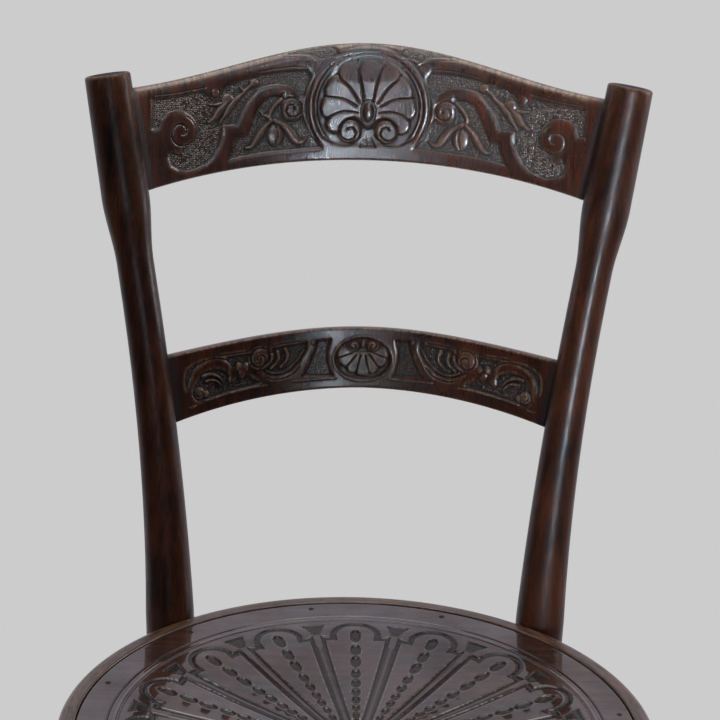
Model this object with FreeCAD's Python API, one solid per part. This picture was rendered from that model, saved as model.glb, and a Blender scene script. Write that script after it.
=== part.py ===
import FreeCAD, Part

import math
import os

# Bentwood side chair with a round embossed seat and two embossed back rails.
# Millimetres, +Z up, the sitter faces -Y, and the floor is at height 0.
# Every wooden piece and every kind of fastener is a solid or a group of solids of its own.

Vector = FreeCAD.Vector

# Seat panel and the bent hoop that carries it
SEAT_HEIGHT = 462.0
PANEL_DIAMETER = 380.0
PANEL_THICKNESS = 6.0
PANEL_CLEARANCE = 0.3
HOOP_LIP_WIDTH = 12.0
HOOP_LIP_RISE = 0.6
HOOP_LEDGE_WIDTH = 24.0
HOOP_HEIGHT = 31.0
HOOP_TOP_EASING = 3.6
HOOP_BOTTOM_EASING = 6.0

# Dish of the seat panel: the middle of the round is pressed down, the border stays flat
DISH_DIAMETER = 300.0
DISH_DEPTH = 12.0
DISH_STEP_COUNT = 3

# Embossing of the seat panel
EMBOSS_DEPTH = 0.9
PETAL_COUNT = 16
PETAL_HEAD_RADIUS = 158.0
PETAL_HEAD_WIDTH = 35.6
PETAL_SHOULDER_RADIUS = 140.0
PETAL_SHOULDER_WIDTH = 49.0
PETAL_ROOT_RADIUS = 36.0
PETAL_ROOT_WIDTH = 11.0
PETAL_CHANNEL_WIDTH = 2.4
PETAL_ARCH_CHANNEL_WIDTH = 4.0
PETAL_ARCH_STEP_COUNT = 4

# Nails that hold the panel down
NAIL_COUNT = 12
NAIL_FIRST_ANGLE = 20.0
NAIL_INSET = 8.0
NAIL_HEAD_DIAMETER = 4.0
NAIL_HEAD_THICKNESS = 0.6
NAIL_HEAD_SIDE_COUNT = 6
NAIL_SHANK_WIDTH = 1.8
NAIL_LENGTH = 18.0

# Back posts, each one rod with the rear leg, bent once at the seat
POST_AZIMUTH = 37.6
BACK_RISE = 381.0
POST_BEND_RISE = 28.0
POST_BEND_RUN = 201.0
POST_SPLAY_ABOVE = 9.4
POST_SPLAY_BELOW = 3.5
POST_RECLINE = 13.0
POST_RAKE_BELOW = 6.0
POST_SADDLE_DEPTH = 2.0
POST_FOOT_DIAMETER = 24.0
POST_SEAT_DIAMETER = 34.6
POST_WAIST_DIAMETER = 26.0
POST_HEAD_DIAMETER = 33.4
POST_TOP_DIAMETER = 32.0
POST_HEAD_LENGTH = 83.0
POST_SHOULDER_LENGTH = 44.0
POST_TOP_EASING = 2.2

# Back rails, bent in plan and let into the posts with tongues
CREST_DROP = 46.2
CREST_PLAN_RADIUS = 278.0
CREST_THICKNESS = 9.0
CREST_END_DEPTH = 73.8
CREST_MIDDLE_DEPTH = 83.0
CREST_LOWER_ARCH = 22.7
LOWER_RAIL_RISE = 164.3
LOWER_RAIL_PLAN_RADIUS = 222.0
LOWER_RAIL_THICKNESS = 8.0
LOWER_RAIL_END_DEPTH = 49.5
LOWER_RAIL_MIDDLE_DEPTH = 44.3
LOWER_RAIL_LOWER_ARCH = 18.5
RAIL_FORWARD = 4.0
RAIL_SHOULDER_GAP = 0.3
TONGUE_DEPTH = 13.0
TONGUE_THICKNESS = 5.0
TONGUE_EDGE_INSET = 3.0

# Front legs, turned and splayed, with a round tenon into the hoop
LEG_AZIMUTH = 44.0
LEG_SPLAY = 3.5
LEG_TOP_DIAMETER = 33.0
LEG_HEAD_LENGTH = 62.0
LEG_SHOULDER_LENGTH = 30.0
LEG_WAIST_DIAMETER = 27.0
LEG_FOOT_DIAMETER = 22.0
LEG_TENON_DIAMETER = 22.0
LEG_TENON_LENGTH = 17.0
SOCKET_CLEARANCE = 0.1
SOCKET_END_SPACE = 0.5

# Bent ring that ties the four legs together
RING_HEIGHT = 205.0
RING_ROD_WIDTH = 19.0
RING_ROD_EASING = 5.6
RING_SADDLE_DEPTH = 2.5

# Bolts through the posts and the hoop, with washers and square nuts inside the hoop
BOLT_DIAMETER = 7.0
BOLT_HEAD_DIAMETER = 17.0
BOLT_HEAD_RISE = 4.0
BOLT_HEAD_STEP_COUNT = 3
BOLT_HEAD_SEAT_DEPTH = 2.5
BOLT_HOOP_SEAT_DEPTH = 0.6
BOLT_TAIL = 2.5
BOLT_SIDE_COUNT = 8
WASHER_SIDE_COUNT = 12
WASHER_DIAMETER = 18.0
WASHER_THICKNESS = 1.6
NUT_WIDTH = 12.0
NUT_THICKNESS = 6.0

# Slotted screws that hold the ring to the legs
SCREW_HEAD_DIAMETER = 7.0
SCREW_SHANK_DIAMETER = 3.6
SCREW_SLOT_WIDTH = 0.9
SCREW_SLOT_DEPTH = 1.1
SCREW_HEAD_SINK = 0.6
SCREW_LENGTH = 30.0

# Sides around a turned section: enough for a visible rod, fewer on small hidden shanks
ROD_SIDE_COUNT = 20
SMALL_SIDE_COUNT = 6

# Fit of one solid beside another
FIT = 0.1

# A cut as long as the seat is wide passes right through any rail or post
REACH = PANEL_DIAMETER
PANEL_RADIUS = PANEL_DIAMETER / 2
REBATE_RADIUS = PANEL_RADIUS + PANEL_CLEARANCE
HOOP_OUTER_RADIUS = REBATE_RADIUS + HOOP_LIP_WIDTH
HOOP_INNER_RADIUS = PANEL_RADIUS - HOOP_LEDGE_WIDTH
HOOP_TOP = SEAT_HEIGHT + HOOP_LIP_RISE
HOOP_BOTTOM = HOOP_TOP - HOOP_HEIGHT
LEDGE_HEIGHT = SEAT_HEIGHT - PANEL_THICKNESS
BOLT_HEIGHT = (HOOP_BOTTOM + LEDGE_HEIGHT) / 2
POST_SEAT_RADIUS_OUT = HOOP_OUTER_RADIUS + POST_SEAT_DIAMETER / 2 - POST_SADDLE_DEPTH
LEG_HOOP_RADIUS = (HOOP_INNER_RADIUS + HOOP_OUTER_RADIUS) / 2
POST_TOP_HEIGHT = SEAT_HEIGHT + BACK_RISE
POST_BEND_HEIGHT = SEAT_HEIGHT + POST_BEND_RISE
POST_HEAD_HEIGHT = POST_TOP_HEIGHT - POST_HEAD_LENGTH
POST_WAIST_HEIGHT = POST_HEAD_HEIGHT - POST_SHOULDER_LENGTH
CREST_MIDDLE_HEIGHT = POST_TOP_HEIGHT - CREST_DROP
LOWER_RAIL_MIDDLE_HEIGHT = SEAT_HEIGHT + LOWER_RAIL_RISE
UP = Vector(0, 0, 1)


def on_circle(radius, azimuth, height):
    """Point at an azimuth in degrees, counted from the back (+Y) towards +X."""
    angle = math.radians(azimuth)
    return Vector(radius * math.sin(angle), radius * math.cos(angle), height)


def mirrored(shape):
    """The same piece on the other side of the chair."""
    return shape.mirror(Vector(0, 0, 0), Vector(1, 0, 0))


def aligned(shape, base, direction):
    """A shape built on the origin along +Z, moved to base and turned to direction."""
    moved = shape.copy()
    moved.Placement = FreeCAD.Placement(base, FreeCAD.Rotation(UP, direction))
    return moved


def rod(base, direction, radius, length):
    """Plain cylinder from base along direction."""
    return Part.makeCylinder(radius, length, base, direction)


def half_space(point, outward):
    """Large block that holds everything beyond a plane."""
    block = Part.makeBox(2 * REACH, 2 * REACH, 2 * REACH, Vector(-REACH, -REACH, 0))
    return aligned(block, point, outward)


def revolved(corners):
    """Solid of revolution about the Z axis from (radius, height) corners."""
    wire = Part.makePolygon([Vector(radius, 0, height) for radius, height in corners + corners[:1]])
    return Part.Face(wire).revolve(Vector(0, 0, 0), UP, 360)


def section(centre, way, radius, sides):
    """Regular polygon about a centre, square to a direction: the section of a turned rod."""
    across = Vector(1, 0, 0) - way * way.x
    across.normalize()
    along = way.cross(across)
    corners = []
    for index in range(sides):
        turn = 2 * math.pi * index / sides
        corners.append(centre + across * (radius * math.cos(turn)) + along * (radius * math.sin(turn)))
    return Part.makePolygon(corners + corners[:1])


def turned_rod(stations, sides):
    """Solid rod through sections, given as (centre, direction, radius) from one end to the other."""
    return Part.makeLoft([section(*station, sides) for station in stations], True, True)


def turned_upright(stations, sides):
    """Solid along +Z from (height, radius) stations."""
    return turned_rod([(Vector(0, 0, height), UP, radius) for height, radius in stations], sides)


def ease(share):
    """Smooth step from 0 to 1."""
    share = min(1.0, max(0.0, share))
    return share * share * (3 - 2 * share)


def bend_slope(height, below, above):
    """Slope of the bent post at a height, between its slopes below and above the bend."""
    share = (height - POST_BEND_HEIGHT + POST_BEND_RUN) / (2 * POST_BEND_RUN)
    return below + (above - below) * min(1.0, max(0.0, share))


def bend_offset(height, below, above):
    """Sideways distance of the bent post from its corner point at a height."""
    rise = height - POST_BEND_HEIGHT
    if rise >= POST_BEND_RUN:
        return above * rise
    if rise <= -POST_BEND_RUN:
        return below * rise
    return below * rise + (above - below) * (rise + POST_BEND_RUN) ** 2 / (4 * POST_BEND_RUN)


def post_slopes(height):
    """Outward and backward slopes of the right post at a height."""
    outward = bend_slope(height, -math.tan(math.radians(POST_SPLAY_BELOW)),
                         math.tan(math.radians(POST_SPLAY_ABOVE)))
    backward = bend_slope(height, -math.tan(math.radians(POST_RAKE_BELOW)),
                          math.tan(math.radians(POST_RECLINE)))
    return outward, backward


def post_axis(height):
    """Point on the right post's centre line. At the bolt it lies beside the hoop."""
    seat = on_circle(POST_SEAT_RADIUS_OUT, POST_AZIMUTH, BOLT_HEIGHT)
    splay = (-math.tan(math.radians(POST_SPLAY_BELOW)), math.tan(math.radians(POST_SPLAY_ABOVE)))
    recline = (-math.tan(math.radians(POST_RAKE_BELOW)), math.tan(math.radians(POST_RECLINE)))
    x = seat.x + bend_offset(height, *splay) - bend_offset(BOLT_HEIGHT, *splay)
    y = seat.y + bend_offset(height, *recline) - bend_offset(BOLT_HEIGHT, *recline)
    return Vector(x, y, height)


def post_direction(height):
    """Unit vector up along the right post."""
    outward, backward = post_slopes(height)
    direction = Vector(outward, backward, 1)
    direction.normalize()
    return direction


def post_diameter(height):
    """Turned outline of the post: thin foot, thick at the seat, waist, shoulder and head."""
    if height <= SEAT_HEIGHT:
        share = height / SEAT_HEIGHT
        return POST_FOOT_DIAMETER + (POST_SEAT_DIAMETER - POST_FOOT_DIAMETER) * ease(share)
    if height <= POST_WAIST_HEIGHT:
        share = (height - SEAT_HEIGHT) / (POST_WAIST_HEIGHT - SEAT_HEIGHT)
        return POST_WAIST_DIAMETER + (POST_SEAT_DIAMETER - POST_WAIST_DIAMETER) * (1 - share) ** 2
    if height <= POST_HEAD_HEIGHT:
        share = (height - POST_WAIST_HEIGHT) / (POST_HEAD_HEIGHT - POST_WAIST_HEIGHT)
        return POST_WAIST_DIAMETER + (POST_HEAD_DIAMETER - POST_WAIST_DIAMETER) * ease(share)
    share = (height - POST_HEAD_HEIGHT) / (POST_TOP_HEIGHT - POST_HEAD_HEIGHT)
    return POST_HEAD_DIAMETER + (POST_TOP_DIAMETER - POST_HEAD_DIAMETER) * share


def spread(first, last, steps):
    """Even heights from first up to, but not including, last."""
    return [first + (last - first) * step / steps for step in range(steps)]


def post_blank():
    """Right post before its joints are cut: sections square to the bent centre line on a level foot."""
    heights = spread(POST_BEND_HEIGHT - POST_BEND_RUN, POST_WAIST_HEIGHT, 9)
    heights += spread(POST_WAIST_HEIGHT, POST_HEAD_HEIGHT, 4)
    heights += [POST_HEAD_HEIGHT, POST_TOP_HEIGHT - POST_TOP_EASING]
    stations = [(post_axis(0), UP, POST_FOOT_DIAMETER / 2)]
    for height in heights:
        stations.append((post_axis(height), post_direction(height), post_diameter(height) / 2))
    top = POST_TOP_HEIGHT
    stations.append((post_axis(top), post_direction(top), POST_TOP_DIAMETER / 2 - POST_TOP_EASING))
    return turned_rod(stations, ROD_SIDE_COUNT)


class Rail:
    """A back rail: where it lies, its outline and the tongues that join it to the posts."""

    def __init__(self, height, plan_radius, thickness, end_depth, middle_depth, lower_arch):
        self.height = height
        self.thickness = thickness
        self.plan_radius = plan_radius
        self.end_depth = end_depth
        self.middle_depth = middle_depth
        self.lower_arch = lower_arch
        self.post_point = post_axis(height)
        self.post_way = post_direction(height)
        tilt = math.atan(post_slopes(height)[1])
        self.up = Vector(0, math.sin(tilt), math.cos(tilt))
        self.front = Vector(0, -math.cos(tilt), math.sin(tilt))
        self.middle_radius = plan_radius + thickness / 2
        self.end_angle = math.asin(self.post_point.x / self.middle_radius)
        sagitta = self.middle_radius * (1 - math.cos(self.end_angle))
        on_plane = Vector(0, self.post_point.y, self.post_point.z)
        self.origin = on_plane + self.front * (RAIL_FORWARD - sagitta)

    def placed(self, shape):
        """Moves a shape from the rail's own x, front and up axes to the chair."""
        turned = shape.copy()
        matrix = FreeCAD.Matrix(1, 0, 0, self.origin.x,
                                0, -self.front.y, self.up.y, self.origin.y,
                                0, -self.front.z, self.up.z, self.origin.z,
                                0, 0, 0, 1)
        turned.Placement = FreeCAD.Placement(matrix)
        return turned

    def slab(self, front_inset, thickness):
        """Bent plate of even thickness, taller and longer than the rail."""
        inner = self.plan_radius + front_inset
        sweep = self.end_angle + TONGUE_DEPTH / self.plan_radius
        axis = Vector(0, -self.middle_radius, -REACH / 2)
        arcs = []
        for radius in (inner, inner + thickness):
            arcs.append([axis + Vector(radius * math.sin(angle), radius * math.cos(angle), 0)
                         for angle in (-sweep, 0, sweep)])
        edges = [Part.Arc(*arcs[0]).toShape(),
                 Part.LineSegment(arcs[0][2], arcs[1][2]).toShape(),
                 Part.Arc(*reversed(arcs[1])).toShape(),
                 Part.LineSegment(arcs[1][0], arcs[0][0]).toShape()]
        return Part.Face(Part.Wire(edges)).extrude(Vector(0, 0, REACH))

    def lower_edge(self, x):
        """Height of the lower edge above the rail's middle, an arch between the posts."""
        share = min(1.0, abs(x) / self.post_point.x)
        return -self.end_depth / 2 + self.lower_arch * (1 - share * share)

    def upper_edge(self, x):
        """Height of the upper edge, a raised middle that runs out flat towards the posts."""
        share = min(1.0, abs(x) / self.post_point.x)
        rise = self.lower_arch + self.middle_depth - self.end_depth
        return self.end_depth / 2 + rise * (1 + math.cos(math.pi * share)) / 2

    def outline(self, edge_inset):
        """Prism across the rail that bounds it above and below."""
        reach = self.post_point.x + self.thickness
        stations = [reach * step / 6 for step in range(-6, 7)]
        upper = Part.BSplineCurve()
        upper.interpolate([Vector(x, -REACH, self.upper_edge(x) - edge_inset) for x in stations])
        lower = Part.BSplineCurve()
        lower.interpolate([Vector(x, -REACH, self.lower_edge(x) + edge_inset) for x in stations])
        edges = [upper.toShape(),
                 Part.LineSegment(upper.EndPoint, lower.EndPoint).toShape(),
                 lower.toShape(),
                 Part.LineSegment(lower.StartPoint, upper.StartPoint).toShape()]
        return Part.Face(Part.Wire(Part.__sortEdges__(edges))).extrude(Vector(0, 2 * REACH, 0))

    def end_blocks(self, distance):
        """Blocks beyond both ends, square to the rail at a distance from the posts' centre lines."""
        along = Vector(math.cos(self.end_angle), 0, 0) + self.front * math.sin(self.end_angle)
        along = along - self.post_way * along.dot(self.post_way)
        along.normalize()
        block = half_space(self.post_point - along * distance, along)
        return block.fuse(mirrored(block))

    def plate(self, front_inset, thickness, edge_inset, distance):
        """A bent plate with the rail's outline, cut off at a distance from the posts' centre lines."""
        bent = self.slab(front_inset, thickness).common(self.outline(edge_inset))
        return self.placed(bent).cut(self.end_blocks(distance))

    def post_radius(self):
        """Radius of the post where the rail joins it."""
        return post_diameter(self.height) / 2

    def tongue(self, clearance):
        """The thinner plate whose ends enter the posts."""
        inset = (self.thickness - TONGUE_THICKNESS) / 2 - clearance
        distance = self.post_radius() - TONGUE_DEPTH - clearance
        return self.plate(inset, TONGUE_THICKNESS + 2 * clearance, TONGUE_EDGE_INSET - clearance, distance)

    def solid(self):
        """The whole rail: the embossed plate and the tongues that pass through it."""
        body = self.plate(0, self.thickness, 0, self.post_radius() + RAIL_SHOULDER_GAP)
        return body.fuse(self.tongue(0)).removeSplitter()


def screw():
    """Slotted countersunk wood screw, head at the origin and point along +Z."""
    head = SCREW_HEAD_DIAMETER / 2
    shank = SCREW_SHANK_DIAMETER / 2
    point = SCREW_LENGTH - 2 * shank
    stations = [(0, head), (head - shank, shank), (point, shank), (SCREW_LENGTH, shank / 4)]
    slot = Part.makeBox(SCREW_HEAD_DIAMETER, SCREW_SLOT_WIDTH, SCREW_SLOT_DEPTH,
                        Vector(-SCREW_HEAD_DIAMETER / 2, -SCREW_SLOT_WIDTH / 2, 0))
    return turned_upright(stations, SMALL_SIDE_COUNT).cut(slot)


def screw_hole():
    """Clearance for a screw, open above its head."""
    head = SCREW_HEAD_DIAMETER / 2 + FIT
    shank = SCREW_SHANK_DIAMETER / 2 + FIT
    stations = [(-2 * head, head), (0, head), (head - shank, shank), (SCREW_LENGTH + FIT, shank)]
    return turned_upright(stations, SMALL_SIDE_COUNT)


def leg_direction():
    """Unit vector down along the right front leg."""
    splay = math.radians(LEG_SPLAY)
    outward = on_circle(math.sin(splay), 180 - LEG_AZIMUTH, 0)
    return outward + Vector(0, 0, -math.cos(splay))


def leg_point(height):
    """Point on the right front leg's centre line, which meets the hoop in the middle of its section."""
    top = on_circle(LEG_HOOP_RADIUS, 180 - LEG_AZIMUTH, HOOP_BOTTOM)
    way = leg_direction()
    return top + way * ((height - HOOP_BOTTOM) / way.z)


def leg_radius(height):
    """Turned outline of the front leg: a thick head, a shoulder and a taper to the foot."""
    head_end = HOOP_BOTTOM - LEG_HEAD_LENGTH
    shoulder_end = head_end - LEG_SHOULDER_LENGTH
    if height >= head_end:
        return LEG_TOP_DIAMETER / 2
    if height >= shoulder_end:
        share = ease((head_end - height) / LEG_SHOULDER_LENGTH)
        return (LEG_TOP_DIAMETER + (LEG_WAIST_DIAMETER - LEG_TOP_DIAMETER) * share) / 2
    return (LEG_FOOT_DIAMETER + (LEG_WAIST_DIAMETER - LEG_FOOT_DIAMETER) * height / shoulder_end) / 2


def leg_blank():
    """Right front leg: level sections down the splayed axis, with a round tenon on top."""
    head_end = HOOP_BOTTOM - LEG_HEAD_LENGTH
    heights = [HOOP_BOTTOM]
    heights += spread(head_end, head_end - LEG_SHOULDER_LENGTH, 4)
    heights += [head_end - LEG_SHOULDER_LENGTH, 0]
    body = turned_rod([(leg_point(height), UP, leg_radius(height)) for height in heights], ROD_SIDE_COUNT)
    return body.fuse(leg_tenon(0, 0))


def leg_tenon(clearance, end_space):
    """Round tenon on the right front leg's axis, from inside the leg up into the hoop."""
    overrun = LEG_TENON_DIAMETER / 2
    base = leg_point(HOOP_BOTTOM) + leg_direction() * overrun
    return rod(base, leg_direction() * -1, LEG_TENON_DIAMETER / 2 + clearance,
               overrun + LEG_TENON_LENGTH + end_space)


def ring_circle():
    """Centre and radius of the leg ring's centre line, so that it beds into all four legs alike."""
    front = leg_point(RING_HEIGHT)
    rear = post_axis(RING_HEIGHT)
    front_radius = leg_radius(RING_HEIGHT)
    rear_radius = post_diameter(RING_HEIGHT) / 2
    low = -PANEL_RADIUS
    high = PANEL_RADIUS
    for _ in range(60):
        middle = (low + high) / 2
        to_front = math.hypot(front.x, front.y - middle) - front_radius
        to_rear = math.hypot(rear.x, rear.y - middle) - rear_radius
        if to_front > to_rear:
            high = middle
        else:
            low = middle
    return Vector(0, middle, RING_HEIGHT), to_front + RING_SADDLE_DEPTH - RING_ROD_WIDTH / 2


def ring_rod(clearance):
    """The leg ring as a bent rod with eased edges, larger all round by a clearance."""
    centre, radius = ring_circle()
    half = RING_ROD_WIDTH / 2 + clearance
    flat = half - RING_ROD_EASING
    section = [(half, flat), (half, -flat), (flat, -half), (-flat, -half),
               (-half, -flat), (-half, flat), (-flat, half), (flat, half)]
    ring = revolved([(radius + across, up) for across, up in section])
    ring.translate(centre)
    return ring


def ring_screw_places():
    """Screws from inside the ring into the two right-hand legs: head point and direction."""
    centre, radius = ring_circle()
    places = []
    for target in (leg_point(RING_HEIGHT), post_axis(RING_HEIGHT)):
        way = target - centre
        way.normalize()
        places.append((centre + way * (radius - RING_ROD_WIDTH / 2 + SCREW_HEAD_SINK), way))
    return places


def bolt_way():
    """Unit vector outwards along the right post's bolt."""
    return on_circle(1, POST_AZIMUTH, 0)


def bolt_stations():
    """Distances from the seat's axis to the bolt head's seat, the washer's seat and the bolt's end."""
    head = POST_SEAT_RADIUS_OUT + post_diameter(BOLT_HEIGHT) / 2 - BOLT_HEAD_SEAT_DEPTH
    washer = HOOP_INNER_RADIUS + BOLT_HOOP_SEAT_DEPTH
    end = washer - WASHER_THICKNESS - NUT_THICKNESS - BOLT_TAIL
    return head, washer, end


def at_bolt(distance):
    """Point on the right bolt's axis."""
    return bolt_way() * distance + Vector(0, 0, BOLT_HEIGHT)


def bolt():
    """Bolt with a low domed head on the outside of the right post."""
    head, _, end = bolt_stations()
    radius = BOLT_HEAD_DIAMETER / 2
    dome = []
    for step in range(BOLT_HEAD_STEP_COUNT):
        angle = math.pi / 2 * step / BOLT_HEAD_STEP_COUNT
        dome.append((BOLT_HEAD_RISE * math.sin(angle), radius * math.cos(angle)))
    dome.append((BOLT_HEAD_RISE, radius / 4))
    shank_ends = (end - head, BOLT_HEAD_RISE / 2)
    shank = turned_upright([(height, BOLT_DIAMETER / 2) for height in shank_ends], BOLT_SIDE_COUNT)
    return aligned(turned_upright(dome, WASHER_SIDE_COUNT).fuse(shank), at_bolt(head), bolt_way())


def bolt_hole():
    """Clearance for the bolt, its domed head and its washer."""
    head, washer, end = bolt_stations()
    hole = rod(at_bolt(end - BOLT_TAIL), bolt_way(), BOLT_DIAMETER / 2 + FIT, head - end + 2 * BOLT_TAIL)
    hole = hole.fuse(rod(at_bolt(head), bolt_way(), BOLT_HEAD_DIAMETER / 2 + FIT, POST_SEAT_DIAMETER))
    return hole.fuse(rod(at_bolt(washer), bolt_way() * -1, WASHER_DIAMETER / 2 + FIT, WASHER_DIAMETER))


def bolt_bore():
    """Hole for the bolt's shank through the washer and the nut, along +Z."""
    ends = (-WASHER_DIAMETER, WASHER_DIAMETER)
    return turned_upright([(height, BOLT_DIAMETER / 2 + FIT) for height in ends], BOLT_SIDE_COUNT)


def washer():
    """Round washer against the inside of the hoop."""
    _, seat, _ = bolt_stations()
    faces = (0, WASHER_THICKNESS)
    disc = turned_upright([(height, WASHER_DIAMETER / 2) for height in faces], WASHER_SIDE_COUNT)
    return aligned(disc.cut(bolt_bore()), at_bolt(seat), bolt_way() * -1)


def nut():
    """Square nut on the bolt's tail."""
    _, seat, _ = bolt_stations()
    block = Part.makeBox(NUT_WIDTH, NUT_WIDTH, NUT_THICKNESS, Vector(-NUT_WIDTH / 2, -NUT_WIDTH / 2, 0))
    return aligned(block.cut(bolt_bore()), at_bolt(seat - WASHER_THICKNESS), bolt_way() * -1)


def nail():
    """Square-shanked nail, its small flat head resting on the panel at the origin."""
    half = NAIL_SHANK_WIDTH / 2
    radius = NAIL_HEAD_DIAMETER / 2
    head = turned_upright([(0, radius), (NAIL_HEAD_THICKNESS, radius - FIT)], NAIL_HEAD_SIDE_COUNT)
    corner = Vector(-half, -half, -NAIL_LENGTH)
    shank = Part.makeBox(NAIL_SHANK_WIDTH, NAIL_SHANK_WIDTH, NAIL_LENGTH, corner)
    return head.fuse(shank)


def nail_hole():
    """Clearance for a nail's shank."""
    width = NAIL_SHANK_WIDTH + 2 * FIT
    return Part.makeBox(width, width, 2 * NAIL_LENGTH, Vector(-width / 2, -width / 2, -NAIL_LENGTH - FIT))


def nail_points():
    """Places of the nail heads on the panel's border."""
    step = 360 / NAIL_COUNT
    return [on_circle(PANEL_RADIUS - NAIL_INSET, NAIL_FIRST_ANGLE + step * index, SEAT_HEIGHT)
            for index in range(NAIL_COUNT)]


def seat_hoop():
    """Bent hoop with a ledge for the panel, sockets for the front legs and holes for bolts and nails."""
    top = HOOP_TOP_EASING
    bottom = HOOP_BOTTOM_EASING
    hoop = revolved([(REBATE_RADIUS, HOOP_TOP),
                     (HOOP_OUTER_RADIUS - top, HOOP_TOP),
                     (HOOP_OUTER_RADIUS, HOOP_TOP - top),
                     (HOOP_OUTER_RADIUS, HOOP_BOTTOM + bottom),
                     (HOOP_OUTER_RADIUS - bottom, HOOP_BOTTOM),
                     (HOOP_INNER_RADIUS, HOOP_BOTTOM),
                     (HOOP_INNER_RADIUS, LEDGE_HEIGHT),
                     (REBATE_RADIUS, LEDGE_HEIGHT)])
    for cut in (bolt_hole(), leg_tenon(SOCKET_CLEARANCE, SOCKET_END_SPACE)):
        hoop = hoop.cut(cut).cut(mirrored(cut))
    for point in nail_points():
        hoop = hoop.cut(aligned(nail_hole(), point, UP))
    return hoop


def dish_sink(share):
    """Depth of the dish at a share of its radius, under the flat border."""
    return DISH_DEPTH * (1 - share * share)


def dish_body(drop):
    """Shallow bowl that fills the dish, lowered by drop, with one flat side to each ray of the fan."""
    rings = []
    for index in range(DISH_STEP_COUNT, 0, -1):
        share = index / DISH_STEP_COUNT
        height = SEAT_HEIGHT - drop - dish_sink(share)
        turns = [360 / PETAL_COUNT * (place + 0.5) for place in range(PETAL_COUNT)]
        rings.append([on_circle(share * DISH_DIAMETER / 2, turn, height) for turn in turns])
    outlines = [rings[0], rings[-1]]
    for upper, lower in zip(rings, rings[1:]):
        for place in range(PETAL_COUNT):
            outlines.append([upper[place - 1], upper[place], lower[place], lower[place - 1]])
    faces = [Part.Face(Part.makePolygon(outline + outline[:1])) for outline in outlines]
    bowl = Part.Solid(Part.Shell(faces))
    bowl.fix(FIT / PANEL_DIAMETER, FIT / PANEL_DIAMETER, FIT / PANEL_DIAMETER)
    return bowl


def above_embossing():
    """Room above the floor of the embossing, which follows the border and the dish."""
    slab = Part.makeCylinder(PANEL_RADIUS, PANEL_THICKNESS, Vector(0, 0, SEAT_HEIGHT - EMBOSS_DEPTH))
    return slab.fuse(dish_body(EMBOSS_DEPTH))


def petal_prism(inset, arch_inset):
    """Upright prism over one ray of the fan: narrow root, shoulders and an arched head, drawn in by insets."""
    root = PETAL_ROOT_WIDTH / 2 - inset
    shoulder = PETAL_SHOULDER_WIDTH / 2 - inset
    head = PETAL_HEAD_WIDTH / 2 - arch_inset
    root_radius = PETAL_ROOT_RADIUS + inset
    shoulder_radius = PETAL_SHOULDER_RADIUS - arch_inset
    rise = PETAL_HEAD_RADIUS - PETAL_SHOULDER_RADIUS
    places = [(-shoulder, shoulder_radius), (-root, root_radius), (root, root_radius), (shoulder, shoulder_radius)]
    for index in range(PETAL_ARCH_STEP_COUNT + 1):
        turn = math.pi * index / PETAL_ARCH_STEP_COUNT
        places.append((head * math.cos(turn), shoulder_radius + rise * math.sin(turn)))
    corners = [Vector(across, along, LEDGE_HEIGHT - DISH_DEPTH) for across, along in places]
    face = Part.Face(Part.makePolygon(corners + corners[:1]))
    return face.extrude(Vector(0, 0, DISH_DEPTH + 2 * PANEL_THICKNESS))


def petal():
    """Pressed channel around the ray that points straight back."""
    channel = petal_prism(0, 0).cut(petal_prism(PETAL_CHANNEL_WIDTH, PETAL_ARCH_CHANNEL_WIDTH))
    return channel.common(above_embossing())


def seat_panel():
    """Round dished plywood panel with its embossed fan and nail holes."""
    panel = Part.makeCylinder(PANEL_RADIUS, PANEL_THICKNESS, Vector(0, 0, LEDGE_HEIGHT))
    panel = panel.fuse(dish_body(PANEL_THICKNESS)).cut(dish_body(0)).removeSplitter()
    ray = petal()
    for index in range(PETAL_COUNT):
        turned = ray.copy()
        turned.rotate(Vector(0, 0, 0), UP, -360 / PETAL_COUNT * index)
        panel = panel.cut(turned)
    for point in nail_points():
        panel = panel.cut(aligned(nail_hole(), point, UP))
    return panel


def saddle():
    """Room for the hoop in the post's inner side."""
    base = Vector(0, 0, HOOP_BOTTOM - FIT)
    return Part.makeCylinder(HOOP_OUTER_RADIUS + FIT, HOOP_HEIGHT + 2 * FIT, base)


def back_post(rails):
    """Right post with its saddles, mortises and holes."""
    post = post_blank().cut(saddle()).cut(bolt_hole()).cut(ring_rod(FIT))
    for rail in rails:
        post = post.cut(rail.tongue(FIT))
    return post.cut(aligned(screw_hole(), *ring_screw_places()[1]))


def front_leg():
    """Right front leg with its saddle for the ring and its screw hole."""
    leg = leg_blank().cut(ring_rod(FIT))
    return leg.cut(aligned(screw_hole(), *ring_screw_places()[0]))


def both_sides(shapes):
    """Right-hand shapes and their mirror images, as a group of separate solids."""
    group = []
    for shape in shapes:
        group += shape.Solids + mirrored(shape).Solids
    return Part.makeCompound(group)


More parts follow.
